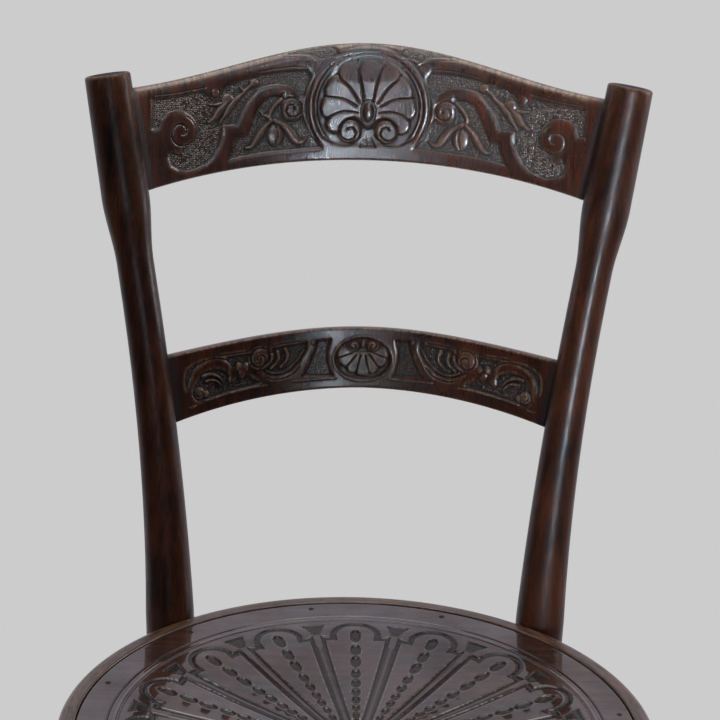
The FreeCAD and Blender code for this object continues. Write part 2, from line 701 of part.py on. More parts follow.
def build_chair():
    """All pieces by name, in seat-centred coordinates."""
    crest = Rail(CREST_MIDDLE_HEIGHT, CREST_PLAN_RADIUS, CREST_THICKNESS, CREST_END_DEPTH,
                 CREST_MIDDLE_DEPTH, CREST_LOWER_ARCH)
    lower = Rail(LOWER_RAIL_MIDDLE_HEIGHT, LOWER_RAIL_PLAN_RADIUS, LOWER_RAIL_THICKNESS,
                 LOWER_RAIL_END_DEPTH, LOWER_RAIL_MIDDLE_DEPTH, LOWER_RAIL_LOWER_ARCH)
    post = back_post((crest, lower))
    leg = front_leg()
    nails = [aligned(nail(), point, UP) for point in nail_points()]
    ring = ring_rod(0)
    for place in ring_screw_places():
        hole = aligned(screw_hole(), *place)
        ring = ring.cut(hole).cut(mirrored(hole))
    return {
        "crest_rail": crest.solid(),
        "lower_back_rail": lower.solid(),
        "right_back_post": post,
        "left_back_post": mirrored(post),
        "seat_hoop": seat_hoop(),
        "seat_panel": seat_panel(),
        "seat_panel_nails": Part.makeCompound(nails),
        "right_front_leg": leg,
        "left_front_leg": mirrored(leg),
        "leg_ring": ring,
        "leg_ring_screws": both_sides([aligned(screw(), *place) for place in ring_screw_places()]),
        "post_bolts": both_sides([bolt()]),
        "post_bolt_washers": both_sides([washer()]),
        "post_bolt_nuts": both_sides([nut()]),
    }


def main():
    """Sets the chair's origin under the middle of its outline and writes one file for each piece."""
    pieces = build_chair()
    box = Part.makeCompound(list(pieces.values())).optimalBoundingBox()
    shift = Vector(0, -(box.YMin + box.YMax) / 2, 0)
    os.makedirs("parts", exist_ok=True)
    for name, shape in pieces.items():
        shape.translate(shift)
        shape.exportStep(os.path.join("parts", name + ".step"))
        print(name, len(shape.Solids), "solids", round(shape.Volume), "mm3, valid", shape.isValid())
    print("seat centre y", round(shift.y, 3))
    print("box", round(box.XLength, 2), round(box.YLength, 2), round(box.ZMax, 2))


main()
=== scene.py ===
import logging
import math
from dataclasses import dataclass
from enum import Enum
from typing import Iterable, Sequence

import bmesh
import bpy
import numpy as np
from mathutils import Matrix, Vector

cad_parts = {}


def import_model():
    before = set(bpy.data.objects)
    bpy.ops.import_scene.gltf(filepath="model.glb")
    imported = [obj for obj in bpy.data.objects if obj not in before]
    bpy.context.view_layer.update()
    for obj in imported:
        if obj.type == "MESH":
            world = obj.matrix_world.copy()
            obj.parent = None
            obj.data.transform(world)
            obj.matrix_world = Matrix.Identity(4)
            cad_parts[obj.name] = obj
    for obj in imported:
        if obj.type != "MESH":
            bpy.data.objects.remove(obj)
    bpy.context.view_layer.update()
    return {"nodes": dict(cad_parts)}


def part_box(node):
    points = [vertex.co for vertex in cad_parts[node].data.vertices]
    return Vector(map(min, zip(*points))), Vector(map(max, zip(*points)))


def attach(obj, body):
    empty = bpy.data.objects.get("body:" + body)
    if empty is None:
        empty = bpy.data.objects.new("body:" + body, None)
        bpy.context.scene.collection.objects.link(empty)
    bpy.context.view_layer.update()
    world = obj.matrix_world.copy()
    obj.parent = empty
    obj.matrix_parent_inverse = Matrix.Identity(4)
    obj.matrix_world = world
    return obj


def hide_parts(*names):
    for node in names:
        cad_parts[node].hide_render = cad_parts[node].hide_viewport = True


# Bentwood chair with embossed seat and back rails.
# Lengths are millimetres about the middle of the seat until a mesh is made, then metres in the chair's frame.

LOG = logging.getLogger("bentwood_chair")
MM = 0.001
BODY = "root"
SEAT_TOP = 462.0
Line = Sequence[tuple[float, float]]
Colour = tuple[float, float, float]
Array = np.ndarray
Socket = bpy.types.NodeSocket
Material = bpy.types.Material
Piece = bpy.types.Object


def eased(share: Array) -> Array:
    """Smooth step from 0 to 1."""
    share = np.clip(share, 0.0, 1.0)
    return share * share * (3.0 - 2.0 * share)


def flowing(points: Line, closed: bool = False, steps: int = 7) -> Array:
    """Smooth curve through given points.

    Args:
        points: places (across, up) that the curve passes through.
        closed: whether the curve returns to its start.
        steps: short straight runs between two points.

    Returns:
        Places along the curve, one row each.
    """
    knots = np.array(points, dtype=float)
    if closed:
        knots = np.vstack([knots[-1:], knots, knots[:2]])
    else:
        first = 2 * knots[0] - knots[1]
        last = 2 * knots[-1] - knots[-2]
        knots = np.vstack([first, knots, last])
    share = np.linspace(0.0, 1.0, steps, endpoint=False)[:, None]
    runs = []
    for before, start, end, after in zip(knots, knots[1:], knots[2:], knots[3:]):
        runs.append(0.5 * (2 * start + (end - before) * share
                           + (2 * before - 5 * start + 4 * end - after) * share ** 2
                           + (3 * start - before - 3 * end + after) * share ** 3))
    if not closed:
        runs.append(knots[-2:-1])
    return np.vstack(runs)


def line_distance(places: Array, line: Array) -> tuple[Array, Array]:
    """Distance of places from an open line.

    Args:
        places: rows (across, up).
        line: rows (across, up) along the line.

    Returns:
        The distances, and the share of the line at which each place is nearest.
    """
    best = np.full(len(places), np.inf)
    where = np.zeros(len(places))
    runs = len(line) - 1
    for index in range(runs):
        start = line[index]
        way = line[index + 1] - start
        length = max(float(way @ way), 1e-9)
        share = np.clip(((places - start) @ way) / length, 0.0, 1.0)
        gap = np.hypot(*(places - start - share[:, None] * way).T)
        nearer = gap < best
        best[nearer] = gap[nearer]
        where[nearer] = (index + share[nearer]) / runs
    return best, where


def inside_outline(places: Array, outline: Array) -> Array:
    """Whether places lie inside a closed outline, as an array of True and False."""
    inside = np.zeros(len(places), dtype=bool)
    across, up = places.T
    for start, end in zip(outline, np.roll(outline, -1, axis=0)):
        crosses = (start[1] > up) != (end[1] > up)
        rise = end[1] - start[1]
        if abs(rise) > 1e-12:
            inside ^= crosses & (across < start[0] + (end[0] - start[0]) * (up - start[1]) / rise)
    return inside


def hump(offset: Array, half_width: float) -> Array:
    """Rounded hump: 1 at no offset, 0 at the half width and past it."""
    return np.clip(1.0 - (offset / half_width) ** 2, 0.0, 1.0)


def mirrored(half: Line) -> Array:
    """Closed outline from its right half, which starts and ends on the middle line."""
    return np.array([*half, *((-across, up) for across, up in half[-2:0:-1])], dtype=float)


class Relief:
    """Height of a pressed surface over places (across, up), with its hollowed ground and the painted shade at
    its walls.
    """

    def __init__(self, across: Array, up: Array) -> None:
        """Starts from a level surface over arrays of one shape."""
        self.shape = across.shape
        self.places = np.column_stack([across.ravel(), up.ravel()])
        self.height = np.zeros(len(self.places))
        self.ground = np.zeros(len(self.places))
        self.crease = np.zeros(len(self.places))

    def shaped(self, values: Array) -> Array:
        """Values in the shape of the given places."""
        return values.reshape(self.shape)

    def press_field(self, wall: Array, depth: float) -> None:
        """Lowers a field, with painted shade where its wall value is between its foot and its top."""
        self.height -= depth * wall
        self.ground = np.maximum(self.ground, wall)
        self.crease = np.maximum(self.crease, np.minimum(8.0 * wall * (1.0 - wall), 1.0))

    def near(self, line: Array, reach: float) -> Array:
        """Numbers of the places within reach of a line's box."""
        low = line.min(axis=0) - reach
        high = line.max(axis=0) + reach
        return np.flatnonzero(np.all((self.places > low) & (self.places < high), axis=1))

    def depth_inside(self, outline: Array, near: Array) -> Array:
        """Distance of the near places from an outline, positive inside."""
        places = self.places[near]
        gap = line_distance(places, np.vstack([outline, outline[:1]]))[0]
        return np.where(inside_outline(places, outline), gap, -gap)

    def sink(self, points: Line, depth: float, bevel: float, smooth: bool = False,
             shoulder: float = 0.0) -> None:
        """Presses a field down.

        Args:
            points: corners of the field's outline.
            depth: how far its floor lies under the surface.
            bevel: width of its sloping wall.
            smooth: whether the outline is a curve through the corners.
            shoulder: width over which the surface beside the field rounds down to it.
        """
        outline = flowing(points, True, 4) if smooth else np.array(points, dtype=float)
        near = self.near(outline, bevel + shoulder)
        inside = self.depth_inside(outline, near)
        wall = eased(inside / bevel + 0.5)
        fall = np.clip(1.0 + (inside + bevel / 2) / max(shoulder, 0.01), 0.0, 1.0)
        lowered = -depth * (0.5 * fall ** 2 * (1.0 - wall) + wall)
        self.height[near] = np.minimum(self.height[near], lowered)
        self.ground[near] = np.maximum(self.ground[near], wall)

    def swell(self, points: Line, base: float, rise: float, bevel: float) -> None:
        """Raises a rounded lobe inside a curved outline, from a base height by a rise over its bevel."""
        outline = flowing(points, True, 5)
        self.swell_inside(outline, self.near(outline, 0.0), base, rise, bevel)

    def swell_inside(self, outline: Array, near: Array, base: float, rise: float, bevel: float) -> None:
        """Raises a rounded form inside an outline.

        Args:
            outline: its corners.
            near: numbers of the places to look at.
            base: height of its foot.
            rise: height of its crown over its foot.
            bevel: width over which it rises.
        """
        gap = np.clip(self.depth_inside(outline, near), 0.0, bevel) / bevel
        lifted = base + rise * np.sqrt(1.0 - (1.0 - gap) ** 2)
        self.raise_to(near[gap > 0.0], lifted[gap > 0.0])

    def raise_to(self, near: Array, heights: Array) -> None:
        """Lifts places that lie lower than the given heights, and makes them smooth."""
        higher = heights > self.height[near]
        self.height[near[higher]] = heights[higher]
        self.ground[near[higher]] *= 0.25

    def ridge(self, points: Line, width: float, base: float, rise: float, taper: float = 0.0,
              bulge: float = 0.0) -> None:
        """Raises a rounded stroke.

        Args:
            points: places that its middle line passes through.
            width: width at its start.
            base: height of its foot.
            rise: height of its crown over its foot.
            taper: share of the width that is lost towards its end.
            bulge: share of the width that both ends lose, as a leaf does.
        """
        line = flowing(points)
        near = self.near(line, width / 2)
        gap, where = line_distance(self.places[near], line)
        gap = gap / (width / 2 * (1.0 - taper * where) * (1.0 - bulge * np.cos(math.pi * where) ** 2))
        inside = gap < 1.0
        self.raise_to(near[inside], base + rise * np.sqrt(1.0 - gap[inside] ** 2))

    def groove(self, points: Line, width: float, depth: float) -> None:
        """Presses a rounded line into whatever is there."""
        line = flowing(points)
        near = self.near(line, width / 2)
        gap = line_distance(self.places[near], line)[0]
        self.height[near] -= depth * hump(gap, width / 2) ** 1.5

    def curl(self, middle: tuple[float, float], radii: tuple[float, float], turns: tuple[float, float],
             width: float, depth: float) -> None:
        """Presses a spiral line.

        Args:
            middle: the spiral's middle.
            radii: radius at its start and at its end.
            turns: angle in degrees at its start and at its end, against the clock from the right.
            width: the line's width.
            depth: the line's depth.
        """
        share = np.linspace(0.0, 1.0, 26)
        angle = np.radians(turns[0] + (turns[1] - turns[0]) * share)
        radius = radii[0] + (radii[1] - radii[0]) * share
        places = np.column_stack([middle[0] + radius * np.cos(angle), middle[1] + radius * np.sin(angle)])
        self.groove(places, width, depth)

    def oval(self, middle: tuple[float, float], half_sizes: tuple[float, float]) -> Array:
        """Distance of every place from an oval's middle, 1 on its outline."""
        across, up = self.places.T
        return np.hypot((across - middle[0]) / half_sizes[0], (up - middle[1]) / half_sizes[1])

    def dome(self, middle: tuple[float, float], half_sizes: tuple[float, float], rise: float) -> None:
        """Swells whatever is there over an oval."""
        self.height += rise * hump(self.oval(middle, half_sizes), 1.0)

    def petal(self, middle: tuple[float, float], half_sizes: tuple[float, float], base: float,
              rise: float) -> None:
        """Raises a rounded oval from a base height."""
        gap = self.oval(middle, half_sizes)
        inside = np.flatnonzero(gap < 1.0)
        self.raise_to(inside, base + rise * np.sqrt(1.0 - gap[inside] ** 2))

    def stipple(self, pitch: float, depth: float, seed: int) -> None:
        """Punches close, uneven dots into the ground.

        Args:
            pitch: distance between dots.
            depth: depth of the deepest dots.
            seed: seed of the uneven places.
        """
        jitter = np.random.default_rng(seed)
        cells = np.floor(self.places / pitch).astype(int)
        low = cells.min(axis=0) - 1
        cells = cells - low
        size = cells.max(axis=0) + 2
        middles = jitter.uniform(0.15, 0.85, (*size, 2))
        strength = jitter.uniform(0.45, 1.0, size)
        dot = np.zeros(len(self.places))
        for step in np.ndindex(3, 3):
            cell = cells + np.array(step) - 1
            middle = (cell + low + middles[cell[:, 0], cell[:, 1]]) * pitch
            punch = hump(np.hypot(*(self.places - middle).T), 0.62 * pitch)
            dot = np.maximum(dot, strength[cell[:, 0], cell[:, 1]] * punch)
        self.height += depth * (0.45 - dot) * np.clip(self.ground * 1.6 - 0.6, 0.0, 1.0)


def blurred(values: Array, reach: int) -> Array:
    """Mean of a grid over a square window of twice the reach and one more."""
    width = 2 * reach + 1
    for axis in (0, 1):
        ends = [(reach + 1, reach) if place == axis else (0, 0) for place in (0, 1)]
        total = np.cumsum(np.pad(values, ends, mode="edge"), axis=axis)
        count = total.shape[axis]
        ahead = np.take(total, range(width, count), axis=axis)
        values = (ahead - np.take(total, range(0, count - width), axis=axis)) / width
    return values


PAINTED_VALUES = ("worn", "hollow", "crease", "along", "across")


def paint(mesh: bpy.types.Mesh, values: dict[str, Array]) -> None:
    """Writes one value for each point of a mesh under each name."""
    for name, numbers in values.items():
        layer = mesh.attributes.new(name, "FLOAT", "POINT")
        layer.data.foreach_set("value", numbers.astype(np.float32))


class Shell:
    """Vertices, faces and painted values of one mesh while it is made."""

    def __init__(self) -> None:
        """Starts empty."""
        self.points: list[Array] = []
        self.values: dict[str, list[Array]] = {name: [] for name in PAINTED_VALUES}
        self.faces: list[Sequence[int]] = []
        self.count = 0

    def add(self, points: Array, worn: Array | float = 0.0, hollow: Array | float = 0.0,
            along: Array | float = 0.0, across: Array | float = 0.0,
            crease: Array | float = 0.0) -> Array:
        """Adds points with their painted values.

        Args:
            points: an array whose last axis is x, y, z in millimetres.
            worn: share of wear and of painted highlight, one value or one for each point.
            hollow: share of hollowed ground.
            along: millimetres along the grain.
            across: millimetres across the grain.
            crease: share of painted shade at walls, grooves and seams, and of dark end grain.

        Returns:
            The points' numbers, in the shape of the array.
        """
        shape = points.shape[:-1]
        numbers = np.arange(self.count, self.count + int(np.prod(shape))).reshape(shape)
        self.count += numbers.size
        self.points.append(points.reshape(-1, 3))
        painted = {"worn": worn, "hollow": hollow, "along": along, "across": across, "crease": crease}
        for name, value in painted.items():
            self.values[name].append(np.broadcast_to(value, shape).ravel())
        return numbers

    def weave(self, numbers: Array, wrap_rows: bool = False, wrap_columns: bool = False) -> None:
        """Adds the four-sided faces of a grid of points."""
        if wrap_rows:
            numbers = np.vstack([numbers, numbers[:1]])
        if wrap_columns:
            numbers = np.hstack([numbers, numbers[:, :1]])
        quads = np.stack([numbers[:-1, :-1], numbers[:-1, 1:], numbers[1:, 1:], numbers[1:, :-1]], axis=-1)
        self.faces.extend(quads.reshape(-1, 4).tolist())

    def fan(self, ring: Array, middle: Array, **values: float) -> None:
        """Closes a ring of points with triangles to a middle point."""
        hub = int(self.add(middle.reshape(1, 3), **values)[0])
        for first, second in zip(ring, np.roll(ring, -1)):
            self.faces.append((int(first), int(second), hub))

    def stitch(self, inner: Array, inner_turns: Array, outer: Array, outer_turns: Array) -> None:
        """Joins two rings of different counts with triangles.

        Args:
            inner: point numbers of the first ring.
            inner_turns: their angles, rising from the same start as the other ring's.
            outer: point numbers of the second ring.
            outer_turns: their angles.
        """
        first = 0
        second = 0
        while first < len(inner) or second < len(outer):
            next_first = inner_turns[first + 1] if first + 1 < len(inner) else inner_turns[0] + 2 * math.pi
            next_second = outer_turns[second + 1] if second + 1 < len(outer) else outer_turns[0] + 2 * math.pi
            near = int(inner[first % len(inner)])
            far = int(outer[second % len(outer)])
            if second >= len(outer) or (first < len(inner) and next_first <= next_second):
                self.faces.append((near, far, int(inner[(first + 1) % len(inner)])))
                first += 1
            else:
                self.faces.append((near, far, int(outer[(second + 1) % len(outer)])))
                second += 1

    def finished(self, name: str, crease: float = 40.0) -> Piece:
        """Makes the mesh object.

        Args:
            name: the piece's name.
            crease: angle in degrees past which an edge stays sharp.

        Returns:
            The object, at the origin, in the chair's frame.
        """
        mesh = bpy.data.meshes.new(name)
        points = np.vstack(self.points) * MM + np.array(SeatMiddle.place)
        mesh.from_pydata(points.tolist(), [], self.faces)
        paint(mesh, {name: np.concatenate(parts) for name, parts in self.values.items()})
        tidy = bmesh.new()
        tidy.from_mesh(mesh)
        bmesh.ops.recalc_face_normals(tidy, faces=tidy.faces[:])
        tidy.to_mesh(mesh)
        tidy.free()
        mesh.shade_smooth()
        mesh.set_sharp_from_angle(angle=math.radians(crease))
        piece = bpy.data.objects.new(name, mesh)
        bpy.context.collection.objects.link(piece)
        return piece


class SeatMiddle:
    """Place of the seat's middle on the floor, in metres, read from the frame."""

    place = (0.0, 0.0, 0.0)

    @classmethod
    def read(cls) -> None:
        """Takes the middle of the seat hoop."""
        low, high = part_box("seat_hoop")
        cls.place = ((low[0] + high[0]) / 2, (low[1] + high[1]) / 2, 0.0)


class GrainRun(Enum):
    """How a finish finds its grain."""

    UPRIGHT = "object_z"
    SIDEWAYS = "object_x"
    PAINTED = "along_across"


class NodeSheet:
    """Short hand for wiring a node tree."""

    beginning = ""

    def __init__(self, tree: bpy.types.NodeTree) -> None:
        """Takes the tree to wire."""
        self.tree = tree

    def node(self, kind: str, settings: dict | None = None, inputs: dict | None = None) -> bpy.types.Node:
        """Adds a node.

        Args:
            kind: the node's type without the sheet's common beginning.
            settings: properties of the node.
            inputs: values or sockets by input name or number.

        Returns:
            The node.
        """
        node = self.tree.nodes.new(self.beginning + kind)
        for key, value in (settings or {}).items():
            setattr(node, key, value)
        for key, value in (inputs or {}).items():
            if isinstance(value, Socket):
                self.tree.links.new(value, node.inputs[key])
            else:
                node.inputs[key].default_value = value
        return node


class ShaderSheet(NodeSheet):
    """Short hand for wiring the nodes of a material or of the world."""

    beginning = "ShaderNode"

    def painted(self, name: str) -> Socket:
        """Painted value of the mesh."""
        return self.node("Attribute", {"attribute_name": name}).outputs["Fac"]

    def calc(self, kind: str, first: object, second: object, clamp: bool = False) -> Socket:
        """Arithmetic on two values or sockets."""
        return self.node("Math", {"operation": kind, "use_clamp": clamp}, {0: first, 1: second}).outputs[0]

    def spread(self, value: Socket, low: float, high: float, start: float = 0.0,
               end: float = 1.0, curve: str = "LINEAR") -> Socket:
        """Maps a value from low..high to start..end, clamped."""
        inputs = {"Value": value, "From Min": low, "From Max": high, "To Min": start, "To Max": end}
        return self.node("MapRange", {"interpolation_type": curve}, inputs).outputs["Result"]

    def mixed(self, share: object, first: object, second: object) -> Socket:
        """Colour between two colours or colour sockets."""
        colours = [value if isinstance(value, Socket) else (*value, 1.0) for value in (first, second)]
        return self.node("Mix", {"data_type": "RGBA"}, {0: share, 6: colours[0], 7: colours[1]}).outputs[2]

    def noise(self, place: Socket, scale: float, detail: float, roughness: float = 0.55) -> Socket:
        """Uneven value between 0 and 1."""
        inputs = {"Vector": place, "Scale": scale, "Detail": detail, "Roughness": roughness}
        return self.node("TexNoise", None, inputs).outputs["Fac"]


class MaterialSheet(ShaderSheet):
    """Short hand for wiring a new material."""

    def __init__(self, name: str) -> None:
        """Makes an empty material."""
        self.material = bpy.data.materials.new(name)
        self.material.use_nodes = True
        super().__init__(self.material.node_tree)
        self.tree.nodes.clear()

    def end(self, kind: str, inputs: dict) -> Material:
        """Ends with a shader of a kind with its inputs.

        Args:
            kind: the shader's type without its common beginning.
            inputs: its values or sockets by input name or number.

        Returns:
            The material.
        """
        self.node("OutputMaterial", None, {"Surface": self.node(kind, None, inputs).outputs[0]})
        return self.material


@dataclass(frozen=True)
class WoodFinish:
    """Dark stained and polished wood with grain, pores, edges lightened by wear and dust in its hollows,
    together with painted highlight on raised rims, painted sheen on hollowed ground and painted shade at
    walls.
    """

    name: str
    run: GrainRun
    deep: Colour
    body: Colour
    wear_and_highlight: Colour
    dust_and_sheen: Colour
    gloss_low: float
    gloss_high: float
    specular: float
    coat: float
    coat_roughness: float
    pore_depth: float
    rub_share: float
    fibre_share: float = 0.75
    coat_bend: float = 1.5
    dot_scale: float = 0.75
    dot_depth: float = 4.0

    def grain_place(self, sheet: MaterialSheet) -> Socket:
        """Coordinates in millimetres with the grain along the third axis.

        Args:
            sheet: the material's sheet.

        Returns:
            The coordinates' socket.
        """
        if self.run is GrainRun.PAINTED:
            inputs = {"X": sheet.painted("across"), "Y": 0.0, "Z": sheet.painted("along")}
            return sheet.node("CombineXYZ", None, inputs).outputs[0]
        place = sheet.node("TexCoord").outputs["Object"]
        turn = (0.0, math.pi / 2, 0.0) if self.run is GrainRun.SIDEWAYS else (0.0, 0.0, 0.0)
        inputs = {"Vector": place, "Rotation": turn, "Scale": (1000.0, 1000.0, 1000.0)}
        return sheet.node("Mapping", None, inputs).outputs[0]

    def stretched(self, sheet: MaterialSheet, place: Socket, long: float) -> Socket:
        """Coordinates drawn out along the grain."""
        inputs = {"Vector": place, "Scale": (1.0, 1.0, 1.0 / long)}
        return sheet.node("Mapping", None, inputs).outputs[0]

    def stain(self, sheet: MaterialSheet, place: Socket, fibre: Socket) -> Socket:
        """Colour of the wood: figure, dark fibres, edges lightened by wear and by painted highlight, dust and
        painted sheen in the hollows, and painted shade at the walls.

        Args:
            sheet: the material's sheet.
            place: coordinates with the grain along the third axis.
            fibre: uneven value along the grain.

        Returns:
            The colour's socket.
        """
        figure = sheet.noise(self.stretched(sheet, place, 14.0), 0.16, 5.0)
        cloud = sheet.noise(place, 0.022, 3.0)
        tone = sheet.calc("ADD", sheet.calc("MULTIPLY", figure, 0.65), sheet.calc("MULTIPLY", cloud, 0.5))
        colour = sheet.mixed(sheet.spread(tone, 0.4, 0.72), self.deep, self.body)
        colour = sheet.mixed(sheet.spread(fibre, 0.5, 0.58, 0.0, self.fibre_share), colour, self.deep)
        scratch = sheet.noise(self.stretched(sheet, place, 5.0), 0.35, 5.0, 0.7)
        # Wear, with painted highlight on raised rims, lightens towards the colour of wear.
        worn = sheet.calc("MULTIPLY", sheet.painted("worn"), sheet.spread(scratch, 0.42, 0.62, 0.05))
        rub = sheet.calc("MULTIPLY", sheet.spread(scratch, 0.6, 0.75), self.rub_share)
        colour = sheet.mixed(sheet.calc("ADD", worn, rub, True), colour, self.wear_and_highlight)
        # Dust with painted sheen lightens the hollowed ground.
        dust = sheet.spread(sheet.noise(place, 0.25, 4.0, 0.65), 0.3, 0.65, 0.35)
        colour = sheet.mixed(sheet.calc("MULTIPLY", sheet.painted("hollow"), dust), colour, self.dust_and_sheen)
        # Painted shade at walls, grooves and seams, and dark end grain, darken towards the deep colour.
        return sheet.mixed(sheet.calc("MULTIPLY", sheet.painted("crease"), 0.85), colour, self.deep)

    def material(self) -> Material:
        """Wires the finish.

        Returns:
            The material.
        """
        sheet = MaterialSheet(self.name)
        place = self.grain_place(sheet)
        fibre = sheet.noise(self.stretched(sheet, place, 16.0), 0.62, 3.0, 0.7)
        hollow = sheet.painted("hollow")
        crease = sheet.painted("crease")
        # Punched dots in the hollowed ground: the low network between them is dented and darkened with
        # painted shade.
        dots = sheet.node("TexVoronoi", None, {"Vector": place, "Scale": self.dot_scale, "Randomness": 0.6})
        dots = sheet.spread(dots.outputs["Distance"], 0.1, 0.6)
        dots = sheet.calc("MULTIPLY", dots, sheet.spread(hollow, 0.35, 0.65))
        stain = self.stain(sheet, place, fibre)
        colour = sheet.mixed(sheet.calc("MULTIPLY", dots, 0.85), stain, self.deep)
        dents = sheet.calc("MULTIPLY", dots, self.dot_depth)
        height = sheet.calc("SUBTRACT", sheet.calc("MULTIPLY", fibre, -1.0), dents)
        bump = sheet.node("Bump", None, {"Strength": 1.0, "Distance": self.pore_depth * MM, "Height": height})
        # Roughness of the wood, higher in open fibres and on walls with painted shade.
        haze = sheet.noise(place, 0.06, 4.0, 0.6)
        gloss = sheet.spread(haze, 0.3, 0.7, self.gloss_low, self.gloss_high)
        gloss = sheet.calc("ADD", gloss, sheet.spread(fibre, 0.48, 0.62, 0.0, 0.16), True)
        gloss = sheet.calc("ADD", gloss, sheet.calc("MULTIPLY", crease, 0.25), True)
        # Polish, thin in the hollows and uneven elsewhere.
        bare = sheet.calc("MAXIMUM", sheet.calc("MULTIPLY", hollow, 0.7), crease)
        polish = sheet.spread(bare, 0.0, 1.0, self.coat, 0.1 * self.coat)
        patch = sheet.spread(sheet.noise(place, 0.018, 4.0, 0.6), 0.38, 0.62, 0.68)
        return sheet.end("BsdfPrincipled", {
            "Base Color": colour, "Roughness": gloss, "Normal": bump.outputs[0],
            "Specular IOR Level": self.specular, "Coat Weight": sheet.calc("MULTIPLY", polish, patch),
            "Coat Roughness": self.coat_roughness, "Coat IOR": self.coat_bend})


@dataclass(frozen=True)
class IronFinish:
    """Old iron or steel, dull and spotted with rust."""

    name: str
    body: Colour
    rust: Colour
    rust_share: float
    roughness: float
    metallic: float

    def material(self) -> Material:
        """Wires the finish.

        Returns:
            The material.
        """
        sheet = MaterialSheet(self.name)
        place = sheet.node("TexCoord").outputs["Object"]
        spot = sheet.noise(place, 900.0, 5.0, 0.6)
        share = sheet.spread(spot, 0.62 - self.rust_share / 2, 0.7, 0.0, 1.0)
        colour = sheet.mixed(share, self.body, self.rust)
        rough = sheet.spread(spot, 0.3, 0.7, self.roughness, min(1.0, self.roughness + 0.3))
        bump = sheet.node("Bump", None, {"Strength": 1.0, "Distance": 0.0001, "Height": spot})
        return sheet.end("BsdfPrincipled", {
            "Base Color": colour, "Roughness": rough, "Metallic": self.metallic, "Normal": bump.outputs[0]})


# In each finish the colour of wear also paints highlight on raised rims, and the colour of the hollows also
# paints sheen on hollowed ground.
POST_FINISH = WoodFinish(
    "polished_dark_beech", GrainRun.UPRIGHT, deep=(0.006, 0.0026, 0.002), body=(0.066, 0.0185, 0.0078),
    wear_and_highlight=(0.19, 0.09, 0.042), dust_and_sheen=(0.012, 0.009, 0.008), gloss_low=0.3, gloss_high=0.42, specular=0.18,
    coat=0.2, coat_roughness=0.2, pore_depth=0.07, rub_share=0.12, fibre_share=0.5, coat_bend=1.3)
BENT_FINISH = WoodFinish(
    "rubbed_bent_beech", GrainRun.PAINTED, deep=(0.009, 0.0042, 0.0032), body=(0.085, 0.038, 0.023),
    wear_and_highlight=(0.21, 0.115, 0.062), dust_and_sheen=(0.012, 0.009, 0.008), gloss_low=0.34, gloss_high=0.52, specular=0.2,
    coat=0.75, coat_roughness=0.2, pore_depth=0.06, rub_share=0.2, fibre_share=0.6, coat_bend=1.7)
CREST_FINISH = WoodFinish(
    "pressed_crest_ply", GrainRun.PAINTED, deep=(0.006, 0.0026, 0.002), body=(0.105, 0.0265, 0.0122),
    wear_and_highlight=(0.34, 0.2, 0.105), dust_and_sheen=(0.28, 0.2, 0.158), gloss_low=0.22, gloss_high=0.34, specular=1.0,
    coat=0.17, coat_roughness=0.18, pore_depth=0.1, rub_share=0.05, fibre_share=0.8, coat_bend=1.6)
LOWER_FINISH = WoodFinish(
    "pressed_lower_ply", GrainRun.PAINTED, deep=(0.005, 0.0022, 0.0017), body=(0.058, 0.0152, 0.0073),
    wear_and_highlight=(0.24, 0.14, 0.08), dust_and_sheen=(0.115, 0.082, 0.065), gloss_low=0.22, gloss_high=0.33, specular=0.34,
    coat=0.1, coat_roughness=0.18, pore_depth=0.1, rub_share=0.03, fibre_share=0.8, coat_bend=1.6)
SEAT_FINISH = WoodFinish(
    "pressed_seat_ply", GrainRun.SIDEWAYS, deep=(0.007, 0.0036, 0.003), body=(0.062, 0.022, 0.0135),
    wear_and_highlight=(0.17, 0.132, 0.112), dust_and_sheen=(0.05, 0.039, 0.032), gloss_low=0.34, gloss_high=0.46, specular=0.12,
    coat=1.0, coat_roughness=0.06, pore_depth=0.04, rub_share=0.1, fibre_share=0.3, coat_bend=1.86)
NAIL_FINISH = IronFinish(
    "blackened_nail_iron", body=(0.02, 0.018, 0.017), rust=(0.05, 0.028, 0.018), rust_share=0.25,
    roughness=0.42, metallic=0.6)
BOLT_FINISH = IronFinish(
    "dull_bolt_steel", body=(0.16, 0.145, 0.13), rust=(0.06, 0.03, 0.018), rust_share=0.2,
    roughness=0.36, metallic=1.0)


def dressed(piece: Piece, material: Material, slot: str, *nodes: str) -> None:
    """Gives a new piece its material and its body, and hides the nodes that it stands for.

    Args:
        piece: the piece.
        material: its finish.
        slot: name of a material slot; not used.
        nodes: names of the nodes that it replaces.
    """
    piece.data.materials.clear()
    piece.data.materials.append(material)
    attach(piece, BODY)
    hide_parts(*nodes)
    LOG.info("%s: %d faces", piece.name, len(piece.data.polygons))


def dressed_pair(pieces: list[Piece], material: Material, ending: str) -> None:
    """Dresses a right and a left piece that stand for nodes with a common ending of their names."""
    for piece, side in zip(pieces, ("right", "left")):
        dressed(piece, material, "dark_beech", side + ending)


def around(radii: Array, turns: Array, heights: Array) -> Array:
    """Points at radii and heights round the upright axis, with angles from the back towards the right."""
    return np.stack(np.broadcast_arrays(radii * np.sin(turns), radii * np.cos(turns), heights), axis=-1)


def round_rings(centres: Array, ways: Array, radii: Array, sides: int) -> Array:
    """Circles of points along an axis.

    Args:
        centres: one row for each circle.
        ways: the axis' direction at each.
        radii: the radius of each.
        sides: points in a circle.

    Returns:
        Points by circle and place in it.
    """
    ways = ways / np.linalg.norm(ways, axis=1, keepdims=True)
    side = np.array([1.0, 0.0, 0.0]) - ways * ways[:, :1]
    side /= np.linalg.norm(side, axis=1, keepdims=True)
    front = np.cross(ways, side)
    turn = np.linspace(0.0, 2 * math.pi, sides, endpoint=False)
    spokes = side[:, None] * np.cos(turn)[None, :, None] + front[:, None] * np.sin(turn)[None, :, None]
    return centres[:, None] + spokes * radii[:, None, None]


